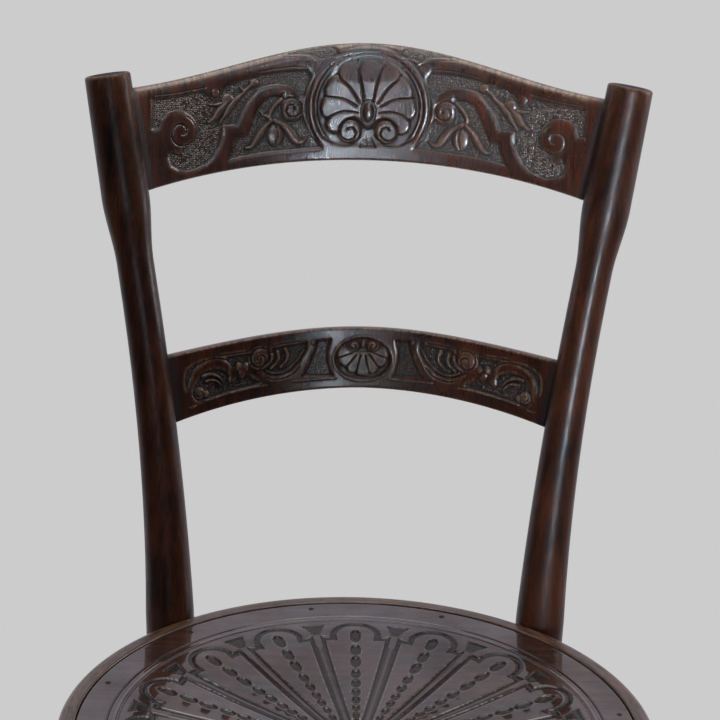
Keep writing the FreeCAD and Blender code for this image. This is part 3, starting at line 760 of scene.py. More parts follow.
def mirrored_rods(ending: str, centres: Array, ways: Array, radii: Array, sides: int,
                  worn: Array, dark: Array) -> list[Piece]:
    """Closed rod through circles on the right, and its mirror image on the left.

    Args:
        ending: common ending of both pieces' names.
        centres: middles of the circles from one end to the other.
        ways: directions of the axis there.
        radii: their radii.
        sides: points in a circle.
        worn: wear at each circle.
        dark: share of bare dark end grain at each circle.

    Returns:
        The right and the left rod.
    """
    pieces = []
    for name, side in (("right", 1.0), ("left", -1.0)):
        flip = np.array([side, 1.0, 1.0])
        shell = Shell()
        rings = round_rings(centres * flip, ways * flip, radii, sides)
        numbers = shell.add(rings, worn[:, None], crease=dark[:, None])
        shell.weave(numbers, wrap_columns=True)
        for end in (0, -1):
            shell.fan(numbers[end], centres[end] * flip, worn=float(worn[end]), crease=float(dark[end]))
        pieces.append(shell.finished(name + ending))
    return pieces


@dataclass
class BackPosts:
    """Two bent and turned rods, each a back post and a rear leg in one."""

    azimuth: float = 37.6
    bolt_height: float = 443.8
    bolt_radius: float = 217.6
    top: float = 843.0
    bend: float = 490.0
    bend_run: float = 201.0
    splay_above: float = 9.4
    splay_below: float = 3.5
    recline: float = 13.0
    rake_below: float = 6.0
    foot_width: float = 24.0
    seat_width: float = 34.6
    waist_width: float = 26.0
    head_width: float = 33.4
    top_width: float = 32.0
    waist: float = 716.0
    head: float = 760.0
    rim: float = 2.0
    foot_run: float = 30.0
    sides: int = 72

    def bent(self, heights: Array, below: float, above: float) -> tuple[Array, Array]:
        """Offset and slope of the bent axis in one direction.

        Args:
            heights: heights along the post.
            below: angle under the bend in degrees, away from the upright.
            above: angle over the bend.

        Returns:
            Offsets from the corner of the bend, and slopes.
        """
        low = -math.tan(math.radians(below))
        high = math.tan(math.radians(above))
        rise = heights - self.bend
        share = np.clip((rise + self.bend_run) / (2 * self.bend_run), 0.0, 1.0)
        inside = low * rise + (high - low) * (rise + self.bend_run) ** 2 / (4 * self.bend_run)
        offset = np.where(share >= 1.0, high * rise, np.where(share <= 0.0, low * rise, inside))
        return offset, low + (high - low) * share

    def axis(self, heights: Array) -> tuple[Array, Array]:
        """Middles and directions of the right post at heights."""
        bolt = np.array([self.bolt_height])
        angle = math.radians(self.azimuth)
        middles = []
        slopes = []
        for start, below, above in ((self.bolt_radius * math.sin(angle), self.splay_below, self.splay_above),
                                    (self.bolt_radius * math.cos(angle), self.rake_below, self.recline)):
            offset, slope = self.bent(heights, below, above)
            middles.append(start + offset - self.bent(bolt, below, above)[0])
            slopes.append(slope)
        level = 1.0 - eased(heights / self.foot_run)
        ways = np.column_stack([slopes[0] * (1 - level), slopes[1] * (1 - level), np.ones(len(heights))])
        return np.column_stack([*middles, heights]), ways

    def widths(self, heights: Array) -> Array:
        """Diameters at heights: foot, seat, waist, shoulder and head."""
        leg = self.foot_width + (self.seat_width - self.foot_width) * eased(heights / SEAT_TOP)
        thin = np.clip(1.0 - (heights - SEAT_TOP) / (self.waist - SEAT_TOP), 0.0, 1.0)
        back = self.waist_width + (self.seat_width - self.waist_width) * thin ** 2
        neck = eased((heights - self.waist) / (self.head - self.waist))
        shoulder = self.waist_width + (self.head_width - self.waist_width) * neck
        crown = np.clip((heights - self.head) / (self.top - self.head), 0.0, 1.0)
        shoulder = shoulder + (self.top_width - self.head_width) * crown
        return np.where(heights < SEAT_TOP, leg, np.where(heights < self.waist, back, shoulder))

    def build(self) -> list[Piece]:
        """Makes both posts.

        Returns:
            The right and the left post.
        """
        heights = np.concatenate([np.linspace(0.0, self.waist, 150),
                                  np.linspace(self.waist, self.top, 60)[1:]])
        centres, ways = self.axis(heights)
        radii = self.widths(heights) / 2
        worn = 0.25 * eased((heights - self.top + 12.0) / 12.0) + 0.3 * eased(1.0 - heights / 60.0)
        turn = np.linspace(0.0, math.pi / 2, 7)
        way = ways[-1] / np.linalg.norm(ways[-1])
        rounding = centres[-1] - np.outer(self.rim * (1.0 - np.sin(turn)), way)
        keep = heights < self.top - self.rim - 0.4
        keep[0] = False
        foot_heights = np.array([0.0, 0.7, 2.0])
        foot_insets = np.array([2.0, 0.6, 0.0])
        foot = centres[0] + np.outer(foot_heights, (0.0, 0.0, 1.0))
        rounding = np.vstack([rounding, rounding[-1:]])
        centres = np.vstack([foot, centres[keep], rounding])
        ways = np.vstack([ways[[0, 0, 0]], ways[keep], np.repeat(ways[-1:], len(rounding), axis=0)])
        tips = self.top_width / 2 - self.rim * (1.0 - np.cos(turn))
        tips = np.append(tips, 0.82 * tips[-1])
        radii = np.concatenate([self.foot_width / 2 - foot_insets, radii[keep], tips])
        worn = np.concatenate([np.full(3, 0.5), worn[keep], np.linspace(0.3, 0.9, len(turn)), np.zeros(1)])
        dark = np.append(np.zeros(len(worn) - 1), 1.0)
        return mirrored_rods("_back_post_turned", centres, ways, radii, self.sides, worn, dark)

    def dress(self, pieces: list[Piece], material: Material) -> None:
        """Finishes both posts."""
        dressed_pair(pieces, material, "_back_post")


@dataclass
class FrontLegs:
    """Two turned front legs under the seat hoop."""

    foot: tuple[float, float] = (146.26, -151.45)
    head: tuple[float, float, float] = (127.92, -132.47, 431.6)
    foot_width: float = 22.0
    waist_width: float = 27.0
    head_width: float = 33.0
    head_length: float = 62.0
    shoulder_length: float = 30.0
    sides: int = 64

    def build(self) -> list[Piece]:
        """Makes both legs.

        Returns:
            The right and the left leg.
        """
        heights = np.concatenate([[0.0, 0.6, 2.0], np.linspace(4.0, self.head[2] + 3.0, 120)])
        share = heights / self.head[2]
        start = np.array([*self.foot, 0.0])
        way = np.array(self.head) - start
        centres = start + np.outer(share, way)
        level = eased(heights / 20.0)[:, None]
        ways = np.array([0.0, 0.0, 1.0]) * (1 - level) + way / np.linalg.norm(way) * level
        collar = self.head[2] - self.head_length
        neck = collar - self.shoulder_length
        taper = self.foot_width + (self.waist_width - self.foot_width) * np.clip(heights / neck, 0.0, 1.0)
        widths = taper + (self.head_width - self.waist_width) * eased((heights - neck) / (collar - neck))
        radii = widths / 2
        radii[:2] -= (1.8, 0.5)
        worn = 0.4 * eased(1.0 - heights / 50.0)
        return mirrored_rods("_front_leg_turned", centres, ways, radii, self.sides, worn, np.zeros(len(worn)))

    def dress(self, pieces: list[Piece], material: Material) -> None:
        """Finishes both legs."""
        dressed_pair(pieces, material, "_front_leg")


@dataclass
class SeatHoop:
    """Bent ring with a rebate for the seat panel and a rounded, rubbed rim."""

    inner: float = 166.0
    rebate: float = 190.3
    outer: float = 202.3
    top: float = 462.6
    ledge: float = 456.0
    bottom: float = 431.6
    top_round: float = 5.2
    lip_round: float = 1.2
    bottom_round: float = 6.0
    columns: int = 320

    def profile(self) -> tuple[Array, Array]:
        """Section of the hoop.

        Returns:
            Corners (radius, height) around the section, and the wear at each.
        """
        turn = np.linspace(0.0, math.pi / 2, 9)
        rows = [(self.inner, self.bottom + 2.0), (self.inner, self.ledge - 1.0),
                (self.inner + 1.0, self.ledge), (self.rebate, self.ledge),
                (self.rebate, self.top - self.lip_round)]
        worn = [0.0, 0.0, 0.0, 0.0, 0.2]
        for angle in turn[1:]:
            rows.append((self.rebate + self.lip_round * (1 - math.cos(angle)),
                         self.top - self.lip_round * (1 - math.sin(angle))))
            worn.append(0.3)
        for angle in turn:
            rows.append((self.outer - self.top_round * (1 - math.sin(angle)),
                         self.top - self.top_round * (1 - math.cos(angle))))
            worn.append(0.45 - 0.2 * angle / (math.pi / 2))
        for angle in turn:
            rows.append((self.outer - self.bottom_round * (1 - math.cos(angle)),
                         self.bottom + self.bottom_round * (1 - math.sin(angle))))
            worn.append(0.15)
        rows += [(self.inner + 2.0, self.bottom)]
        worn += [0.0]
        return np.array(rows), np.array(worn)

    def build(self) -> Piece:
        """Makes the hoop.

        Returns:
            The hoop's object.
        """
        rows, worn = self.profile()
        turn = np.linspace(-math.pi, math.pi, self.columns, endpoint=False)
        points = around(rows[:, :1], turn, rows[:, 1:])
        lengths = np.concatenate([[0.0], np.cumsum(np.hypot(*np.diff(rows, axis=0).T))])
        shell = Shell()
        numbers = shell.add(points, worn[:, None], 0.0, self.outer * turn[None, :], lengths[:, None])
        shell.weave(numbers, wrap_rows=True, wrap_columns=True)
        return shell.finished("seat_hoop_bent")

    def dress(self, piece: Piece, material: Material) -> None:
        """Finishes the hoop."""
        dressed(piece, material, "hoop_beech", "seat_hoop")


@dataclass
class SeatPanel:
    """Round plywood seat, dished in the middle, with a pressed fan of sixteen rays."""

    radius: float = 189.6
    thickness: float = 6.0
    dish_radius: float = 150.0
    dish_depth: float = 12.0
    rays: int = 16
    press: float = 0.75
    bevel: float = 1.2
    edge_round: float = 1.2
    head_middle: float = 140.5
    head_outer: float = 17.8
    head_inner: float = 14.0
    shoulder_outer: float = 140.0
    shoulder_inner: float = 136.0
    channel: float = 2.4
    root: float = 36.0
    ray_crown: float = 0.3
    ray_crown_run: float = 9.0
    join_radius: float = 130.0
    outer_columns: int = 52
    cell_depth: float = 0.75
    cell_crown: float = 0.3
    cell_rim: float = 0.12
    cell_radii: tuple[float, ...] = (140.8, 124.1, 109.6, 94.6, 82.7, 71.4, 61.9, 51.9, 42.3)
    cell_lengths: tuple[float, ...] = (7.0, 6.6, 6.6, 5.6, 5.2, 4.7, 4.4, 4.2, 3.9)
    cell_widths: tuple[float, ...] = (3.9, 3.6, 3.5, 3.2, 3.1, 2.9, 2.8, 2.6, 2.4)
    spandrel_run: tuple[float, float] = (144.0, 156.0)
    spandrel_halves: tuple[float, float] = (2.5, 7.7)
    # Radius, width and rise of the round lines.
    round_lines: tuple[tuple[float, float, float], ...] = (
        (168.7, 1.5, -0.7), (163.4, 3.4, 0.55), (33.0, 2.4, -0.8), (28.5, 4.0, 0.6), (24.0, 2.0, -0.7))

    def bar_half(self, radii: Array) -> Array:
        """Half width of the bars between rays at distances from the middle."""
        return np.maximum(2.05 + 0.0175 * (radii - 77.0), 0.6)

    def sunk(self, radii: Array) -> Array:
        """Depth of the dish under the flat border at distances from the middle."""
        share = 1.0 - (radii / self.dish_radius) ** 2
        return self.dish_depth * (share + np.sqrt(share * share + 0.003)) / 2

    def ray_outline(self, head: float, shoulder: float, gap: float) -> Array:
        """Outline of a ray that points along the second axis.

        Args:
            head: radius of its arched head.
            shoulder: distance of its shoulders from the seat's middle.
            gap: space between its sides and the bars.

        Returns:
            Corners of the closed outline.
        """
        slope = math.tan(math.pi / self.rays)
        corners = []
        for radius in (shoulder, (shoulder + self.root) / 2, self.root + gap):
            half = radius * slope - float(self.bar_half(np.array(radius))) - gap
            corners.append((max(half, 0.4), radius))
        start = math.asin((shoulder - self.head_middle) / head)
        turn = np.linspace(start, math.pi / 2, 16)
        arch = [(head * math.cos(angle), self.head_middle + head * math.sin(angle)) for angle in turn]
        half_side = corners[::-1] + arch
        return np.array(half_side + [(-across, up) for across, up in half_side[::-1][1:]])

    def spandrel(self, across: Array, along: Array) -> Array:
        """Share of the small field between two rays' heads.

        Args:
            across: distances from the bar's axis.
            along: distances from the seat's middle along that axis.

        Returns:
            0 outside the field and 1 on its floor.
        """
        low, high = self.spandrel_run
        narrow, wide = self.spandrel_halves
        slant = narrow + (along - low) * (wide - narrow) / (high - low)
        inside = np.minimum(np.minimum(along - low, high - along), slant - across)
        return eased(inside / self.bevel + 0.5)

    def embossed(self, radii: Array, turns: Array) -> tuple[Array, ...]:
        """Pressed relief at places in one ray's sector.

        Args:
            radii: distances from the middle.
            turns: angles from the ray's axis.

        Returns:
            Heights over the smooth dish, and the shares of hollowed ground, of painted shade and of light
            rims, which are painted highlight.
        """
        relief = Relief(radii * np.sin(turns), radii * np.cos(turns))
        every = np.arange(len(relief.places))
        channel_edge = self.ray_outline(self.head_outer, self.shoulder_outer, 0.0)
        ray_edge = self.ray_outline(self.head_inner, self.shoulder_inner, self.channel)
        outer = relief.depth_inside(channel_edge, every)
        inner = relief.depth_inside(ray_edge, every)
        relief.press_field(eased(outer / self.bevel + 0.5) * eased(0.5 - inner / self.bevel), self.press)
        relief.height += self.ray_crown * eased(inner / self.ray_crown_run)
        # Light lines along the rays' rims and round the cells are painted highlight, kept with the wear.
        wear_and_highlight = np.exp(-((inner - 0.45) / 0.4) ** 2)
        for middle, long, wide in zip(self.cell_radii, self.cell_lengths, self.cell_widths):
            gap = relief.oval((0.0, middle), (wide, long))
            relief.press_field(eased((1.0 - gap) / 0.4 + 0.3), self.cell_depth)
            rim = np.exp(-((gap - 1.18) / 0.13) ** 2)
            relief.height += self.cell_crown * eased(1.0 - gap / 0.75) + self.cell_rim * rim
            wear_and_highlight = np.maximum(wear_and_highlight, 0.7 * rim)
        distance = np.hypot(*relief.places.T)
        turn = np.arctan2(*relief.places.T)
        beside = math.pi / self.rays - np.abs(turn)
        relief.press_field(self.spandrel(distance * np.sin(beside), distance * np.cos(beside)), self.press)
        relief.stipple(pitch=1.9, depth=0.15, seed=11)
        for ring, width, rise in self.round_lines:
            line = hump(distance - ring, width / 2)
            relief.height += rise * line
            # A sunk round line gets painted shade.
            if rise < 0.0:
                relief.crease = np.maximum(relief.crease, 0.9 * line)
        petals = 0.5 + 0.5 * np.cos(turn * self.rays)
        relief.height += 1.1 * petals * eased((distance - 4.0) / 6.0) * eased((23.0 - distance) / 5.0)
        layers = (relief.height, relief.ground, relief.crease, wear_and_highlight)
        return tuple(relief.shaped(values) for values in layers)

    def inner_turns(self, radius: float) -> Array:
        """Angles of one sector's columns, which follow the bar, the channels and the cells.

        Args:
            radius: distance from the seat's middle.

        Returns:
            Angles from the sector's first edge to just before its last.
        """
        half = math.pi / self.rays * radius
        bar = float(self.bar_half(np.array(radius)))
        wide = float(np.interp(radius, self.cell_radii[::-1], self.cell_widths[::-1]))
        wall = 0.45
        marks = np.array([0.0, bar - wall, bar + wall, bar + self.channel - wall, bar + self.channel + wall])
        rest = half - marks[-1]
        cell = min(wide + 1.4, 0.85 * rest)
        plain = marks[-1] + np.array([min(1.0, 0.5 * (rest - cell)), rest - cell])
        steps = half - cell * np.array([0.83, 0.66, 0.48, 0.24, 0.0])
        marks = np.concatenate([marks, plain, steps])
        # Near the seat's middle the columns go over to even steps.
        even = np.linspace(0.0, half, len(marks))
        marks = even + (marks - even) * float(eased(np.array((radius - 24.0) / 14.0)))
        offsets = np.concatenate([marks, (2 * half - marks[1:-1])[::-1]])
        return offsets / radius - math.pi / self.rays

    def ring_points(self, radii: Array, turns: Array) -> tuple[Array, ...]:
        """Points of whole rings from one sector.

        Args:
            radii: one distance for each ring.
            turns: angles by ring and place in the sector.

        Returns:
            Points, wear with painted highlight, hollowed ground, painted shade and angles by ring and place.
        """
        wide = np.repeat(radii[:, None], turns.shape[1], axis=1)
        height, ground, crease, wear_and_highlight = self.embossed(wide, turns)
        rim = np.clip(wide - (self.radius - self.edge_round), 0.0, self.edge_round)
        height = height - (self.edge_round - np.sqrt(self.edge_round ** 2 - rim ** 2))
        step = 2 * math.pi / self.rays
        whole = np.hstack([turns + step * index for index in range(self.rays)])
        height = height - self.sunk(wide)
        height, wide, ground, crease, wear_and_highlight = (np.tile(values, self.rays)
                                                for values in (height, wide, ground, crease, wear_and_highlight))
        return around(wide, whole, height + SEAT_TOP), wear_and_highlight, ground, crease, whole

    def build(self) -> Piece:
        """Makes the panel.

        Returns:
            The panel's object.
        """
        shell = Shell()
        inner_radii = np.concatenate([np.arange(3.0, 36.0, 1.5), np.arange(36.5, self.join_radius, 1.3)])
        inner_turns = np.array([self.inner_turns(radius) for radius in inner_radii])
        points, worn, ground, crease, turns = self.ring_points(inner_radii, inner_turns)
        inner = shell.add(points, worn, ground, crease=crease)
        shell.weave(inner, wrap_columns=True)
        shell.fan(inner[0], np.array([0.0, 0.0, SEAT_TOP - float(self.sunk(np.array(0.0)))]))
        rim = self.radius - self.edge_round * (1 - np.sin(np.linspace(0.0, 1.5, 5)))
        border = [172.0, 176.0, 180.0, 184.0, 187.0]
        outer_radii = np.concatenate([np.arange(self.join_radius + 0.4, 159.6, 0.75),
                                      np.arange(160.2, 170.4, 0.55), border, rim])
        sector = np.linspace(-math.pi / self.rays, math.pi / self.rays, self.outer_columns, endpoint=False)
        outer_turns = np.repeat(sector[None], len(outer_radii), axis=0)
        points, worn, ground, crease, outer_whole = self.ring_points(outer_radii, outer_turns)
        outer = shell.add(points, worn, ground, crease=crease)
        shell.weave(outer, wrap_columns=True)
        shell.stitch(inner[-1], turns[-1], outer[0], outer_whole[0])
        self.add_underside(shell, outer[-1], outer_whole[-1])
        return shell.finished("seat_panel_pressed", 60.0)

    def add_underside(self, shell: Shell, edge: Array, edge_turns: Array) -> None:
        """Closes the panel with its edge and its plain underside.

        Args:
            shell: the panel's shell.
            edge: point numbers of the upper rim.
            edge_turns: their angles.
        """
        chamfer = 0.6
        radii = np.array([self.radius, self.radius - chamfer, 170.0, 158.0, 150.0, 140.0, 120.0, 100.0, 75.0,
                          50.0, 25.0])
        turn = np.linspace(edge_turns[0], edge_turns[0] + 2 * math.pi, 128, endpoint=False)
        height = SEAT_TOP - self.thickness - self.sunk(radii)
        height[0] += chamfer
        numbers = shell.add(around(radii[:, None], turn, height[:, None]))
        shell.weave(numbers, wrap_columns=True)
        shell.stitch(edge, edge_turns, numbers[0], turn)
        floor = SEAT_TOP - self.thickness - float(self.sunk(np.array(0.0)))
        shell.fan(numbers[-1], np.array([0.0, 0.0, floor]))

    def dress(self, piece: Piece, material: Material) -> None:
        """Finishes the panel."""
        dressed(piece, material, "seat_ply", "seat_panel")


@dataclass
class BackRail:
    """Bent plywood plate between the posts, with pressed relief on its hollow front."""

    name: str
    node: str
    origin: tuple[float, float]
    tilt: float
    plan_radius: float
    thickness: float
    end_depth: float
    middle_depth: float
    lower_arch: float
    post_across: float
    post_lean: float
    covered: float
    shift: float
    columns: int
    rows: int
    lower_drop: float
    drop_power: float
    fullness: float
    edge_wear: float
    upper_round: tuple[float, float] = (8.0, 4.2)
    lower_round: tuple[float, float] = (2.2, 2.2)
    back_round: float = 2.0
    curl_back: tuple[float, float] = (30.0, 0.0)
    # Painted shade fills the seam band beside each post; raised rims get wear and painted highlight; hollowed
    # ground gets dust and painted sheen.
    seam: float = 14.0
    rim_step: float = 0.3
    rim_wear_and_highlight: float = 0.24
    upper_wear: float = 0.75
    lower_wear: float = 0.35
    seam_painted_shade: float = 0.9
    ground_dust_and_sheen: float = 0.85
    roll: float = 0.0

    def edges(self, run: Array) -> tuple[Array, Array]:
        """Heights of the plate's lower and upper edge.

        Args:
            run: length along its bend from the middle.

        Returns:
            Lower and upper edge, measured up the plate.
        """
        across = self.plan_radius * np.sin(run / self.plan_radius)
        share = np.minimum(1.0, np.abs(across) / self.post_across)
        drop = self.lower_drop * share ** self.drop_power
        lower = -self.end_depth / 2 + self.lower_arch * (1 - share ** 2) - drop
        swell = self.lower_arch + self.middle_depth - self.end_depth
        wave = (1 + np.cos(math.pi * share)) / 2
        upper = self.end_depth / 2 + swell * (wave + self.fullness * (1 - share ** 2 - wave))
        return lower, upper

    def placed(self, run: Array, up: Array, lift: Array) -> Array:
        """Points of the plate.

        Args:
            run: length along its bend from the middle.
            up: height up the plate.
            lift: height over the front face.

        Returns:
            Points about the seat's middle.
        """
        angle = run / self.plan_radius
        radius = self.plan_radius - lift
        up = up + run * math.tan(math.radians(self.roll))
        ahead = self.plan_radius + self.thickness / 2 - radius * np.cos(angle)
        tilt = math.radians(self.tilt)
        return np.stack([radius * np.sin(angle),
                         self.origin[0] - ahead * math.cos(tilt) + up * math.sin(tilt),
                         self.origin[1] + ahead * math.sin(tilt) + up * math.cos(tilt)], axis=-1)

    def laid_out(self, shares: Array) -> tuple[Array, Array]:
        """Places on the plate for shares of its height.

        Args:
            shares: shares from the lower to the upper edge.

        Returns:
            Runs and heights by share and column. The ends slant with the posts.
        """
        column = np.linspace(-1.0, 1.0, self.columns)[None, :]
        up = np.zeros((len(shares), self.columns))
        for _ in range(3):
            end = self.post_across + self.post_lean * up - self.covered
            run = column * self.plan_radius * np.arcsin(end / self.plan_radius)
            lower, upper = self.edges(run)
            up = lower + shares[:, None] * (upper - lower)
        return run, up

    def carve(self, relief: Relief) -> None:
        """Presses the ornament of this rail; a plain plate has none."""

    def build(self) -> Piece:
        """Makes the plate.

        Returns:
            The plate's object.
        """
        run, up = self.laid_out(np.linspace(0.0, 1.0, self.rows))
        lower, upper = self.edges(run)
        relief = Relief(np.abs(run - self.shift), up)
        self.carve(relief)
        pressed = relief.shaped(relief.height)
        height = pressed
        for gap, (size, deep) in ((upper - up, self.upper_round), (up - lower, self.lower_round)):
            inner = np.clip(1.0 - gap / size, 0.0, 1.0)
            height = height - deep * (1.0 - np.sqrt(1.0 - inner * inner))
        height = height - self.curl_back[1] * np.clip(1.0 - (upper - up) / self.curl_back[0], 0.0, 1.0) ** 2
        # Wear and painted highlight on whatever stands out, painted shade at its foot and at the seams beside
        # the posts.
        change = pressed - blurred(pressed, 4)
        worn = np.clip(change / self.rim_step - 0.1, 0.0, 1.0) * self.rim_wear_and_highlight
        worn = np.maximum(worn, self.upper_wear * eased(1.0 - (upper - up) / self.edge_wear))
        worn = np.maximum(worn, self.lower_wear * eased(1.0 - (up - lower) / 3.0))
        crease = np.clip(-change / self.rim_step - 0.15, 0.0, 1.0)
        end = np.minimum(run.max(axis=1, keepdims=True) - run, run - run.min(axis=1, keepdims=True))
        crease = np.maximum(crease, self.seam_painted_shade * eased(1.0 - (end - self.seam) / 3.0))
        shell = Shell()
        hollow = self.ground_dust_and_sheen * relief.shaped(relief.ground)
        front = shell.add(self.placed(run, up, height), worn, hollow, up, run, crease)
        back = self.add_back(shell)
        loop = np.vstack([front, back])
        shell.weave(loop, wrap_rows=True)
        shell.faces.append(loop[:, 0].tolist())
        shell.faces.append(loop[::-1, -1].tolist())
        return shell.finished(self.name, 50.0)

    def add_back(self, shell: Shell) -> Array:
        """Adds the plain back with its rounded edges.

        Args:
            shell: the plate's shell.

        Returns:
            The points' numbers, from the upper edge to the lower.
        """
        run, up = self.laid_out(np.linspace(1.0, 0.0, 18))
        lower, upper = self.edges(run)
        edge = np.minimum(upper - up, up - lower)
        inset = np.clip(self.back_round - edge, 0.0, self.back_round)
        sink = self.back_round - np.sqrt(self.back_round ** 2 - inset ** 2)
        share = 0.3
        up[1] = upper[1] - self.back_round * share
        up[-2] = lower[-2] + self.back_round * share
        sink[[1, -2]] = self.back_round * (1 - math.sqrt(1 - (1 - share) ** 2))
        points = self.placed(run, up, -self.thickness + sink)
        return shell.add(points, 0.4 * eased(1 - edge / 4.0), 0.0, up, run + 400.0)

    def dress(self, piece: Piece, material: Material) -> None:
        """Finishes the rail."""
        dressed(piece, material, "rail_ply", self.node)


@dataclass
class CrestRail(BackRail):
    """Upper rail: a shell in a roundel between scrolls on a stippled ground."""

    name: str = "crest_rail_pressed"
    node: str = "crest_rail"
    origin: tuple[float, float] = (282.856, 784.219)
    tilt: float = 13.0
    plan_radius: float = 278.0
    thickness: float = 9.0
    end_depth: float = 73.8
    middle_depth: float = 83.0
    lower_arch: float = 22.7
    post_across: float = 173.975
    post_lean: float = 0.161
    covered: float = 7.0
    shift: float = 0.9
    columns: int = 566
    rows: int = 156
    lower_drop: float = 4.0
    drop_power: float = 3.0
    fullness: float = 0.14
    edge_wear: float = 6.0
    curl_back: tuple[float, float] = (30.0, 1.8)

    inner_field: Line = (
        (47.5, 16.5), (40, 3), (33.5, -5), (45, -6), (60, -7.5), (75, -9), (90, -11.5), (100, -14),
        (97, -8), (95, -3), (94, 2), (87.5, 2.5), (86, 4.5), (83, 13), (79, 22), (75.5, 27), (70, 30),
        (62, 31.5), (62.5, 25), (62, 18), (58.5, 13.8), (53, 12.8), (49, 14.5))
    outer_field: Line = (
        (41.5, 45), (44.5, 49), (50, 49), (60, 48.5), (70, 47), (80, 45), (90, 42.5), (100, 39.5),
        (104, 36.5), (107, 32), (109.5, 28.5), (112.5, 28.5), (115, 31.5), (120, 34.5), (130, 32.5),
        (140, 31), (150, 30), (158, 29.5), (158.5, 10), (154, 9.5), (152, 16), (147, 20.5), (141, 22),
        (134, 21), (129, 18), (125, 13), (123.5, 8), (125, 2), (128, -1.5), (133, -3.5), (135, -5.5),
        (136.5, -7), (139, -7.5), (142, -6.8), (144.5, -9), (145, -12), (143.5, -17), (138, -20.3),
        (131, -21.3), (124, -19.7), (117.5, -16.7), (112, -11.5), (108, -4.5), (105.5, 3), (105.3, 10.5),
        (101, 10.5), (95.5, 11), (94, 14.5), (91.5, 20), (88, 26), (84, 31), (80, 35.5), (76, 37.5),
        (70, 39), (64, 39.5), (58, 38.5), (53, 35.5), (49.5, 31), (46, 31), (44, 37))
    shell_half: Line = (
        (0, 57.4), (3, 57), (6, 54.6), (8, 50.4), (11, 54.4), (14.5, 55.8), (18.5, 54.6), (21.4, 51),
        (22.4, 46.4), (26, 44.2), (29.4, 41.6), (32, 37), (31.2, 31), (33.4, 28), (34.8, 22.5),
        (33.2, 17.6), (29.6, 14.8), (30.6, 11), (28.6, 6.8), (24.4, 4.4), (20.4, 5.2), (19.6, 9.5),
        (16, 14), (10, 16), (5, 12.5), (2.4, 8.5), (0, 8))

    def carve(self, relief: Relief) -> None:
        """Presses the shell, the scrolls and the sprigs."""
        floor = 1.5
        for field in (self.inner_field, self.outer_field):
            relief.sink(field, floor, bevel=1.1, shoulder=3.2)
        self.carve_sprigs(relief, -floor)
        relief.sink(((22, 61.5), (28, 59), (34, 57.5), (40, 59.3), (50, 60.3), (58, 60.3), (48, 63),
                     (36, 65.2), (26, 66)), depth=0.6, bevel=1.2, smooth=True)
        relief.stipple(pitch=1.55, depth=0.14, seed=7)
        self.carve_scrolls(relief)
        self.carve_shell(relief)

    def carve_sprigs(self, relief: Relief, base: float) -> None:
        """Raises the sprig, its bud and the offshoots of the scroll from the ground.

        Args:
            relief: the rail's relief.
            base: height of the ground.
        """
        relief.ridge(((62, 28.6), (67.4, 23.6), (70.4, 18), (69.6, 13)), 3.6, base, 1.6)
        relief.ridge(((71, 16.2), (75, 17.2), (77.4, 20)), 2.8, base, 1.3, 0.6)
        relief.ridge(((67, 13.6), (59.4, 9.6), (54.9, 4.4), (51.2, -0.6), (47, -2), (44, 0.8)),
                     8.4, base, 1.9, 0.5, 0.6)
        relief.ridge(((69.6, 13.4), (73.8, 9), (77.2, 4.2), (80.4, -1), (84, -5.2), (88, -5.6)),
                     7.6, base, 2.1, 0.5, 0.6)
        relief.petal((66.2, 2.8), (6.0, 7.6), base, 1.7)
        relief.groove(((65.4, 9), (64.2, 3.5), (65.6, -3.6)), 1.6, 0.9)
        relief.petal((82.4, 40), (3.6, 3.0), base, 1.6)
        relief.petal((139.0, -6.2), (3.8, 3.2), base, 1.5)
        relief.ridge(((85, 38), (89.5, 34.6), (92.4, 37)), 2.6, base, 1.3, 0.5)
        relief.ridge(((89, 34), (96.8, 26.8), (102.6, 19), (107.6, 11.8)), 6.0, base, 1.8, 0.3, 0.6)
        relief.petal((101.6, 28.6), (4.8, 4.0), base, 1.7)
        relief.ridge(((100.6, 28), (106.4, 22), (110.6, 16.6), (116, 12.6)), 7.6, base, 1.9, 0.4, 0.6)
        relief.ridge(((104.6, 26), (110, 25), (115.4, 25.2)), 2.8, base, 1.3, 0.6)

    def carve_scrolls(self, relief: Relief) -> None:
        """Lines the scrolls and rounds their curls."""
        relief.dome((54.3, 21.6), (9.0, 9.0), 0.6)
        relief.curl((54.3, 21.6), (8.6, 1.4), (50.0, 560.0), 1.7, 1.0)
        relief.groove(((72, 29.8), (66, 31), (61, 29.4)), 1.7, 0.8)
        relief.dome((136.5, 6.4), (14.0, 14.0), 0.8)
        relief.curl((136.5, 6.4), (10.8, 1.8), (222.0, 610.0), 1.8, 1.0)
        relief.curl((136.5, 6.4), (11.4, 11.4), (110.0, 225.0), 1.3, 0.6)
        relief.petal((110.8, 33.2), (2.6, 3.2), 0.0, 0.5)
        relief.curl((110.8, 33.2), (3.4, 3.4), (150.0, 390.0), 1.2, 0.6)
        relief.groove(((34, 53.5), (40, 57), (50, 58.5), (60, 58.5)), 1.2, 0.35)
        relief.groove(((34, 53.5), (30, 57), (22, 58.5), (10, 60)), 1.2, 0.35)
        relief.groove(((118, 37.4), (130, 35.4), (140, 33.9), (156, 32.4)), 1.4, 0.6)
        relief.groove(((44, 51.6), (52, 51.8), (64, 50.6), (78, 48)), 1.3, 0.5)

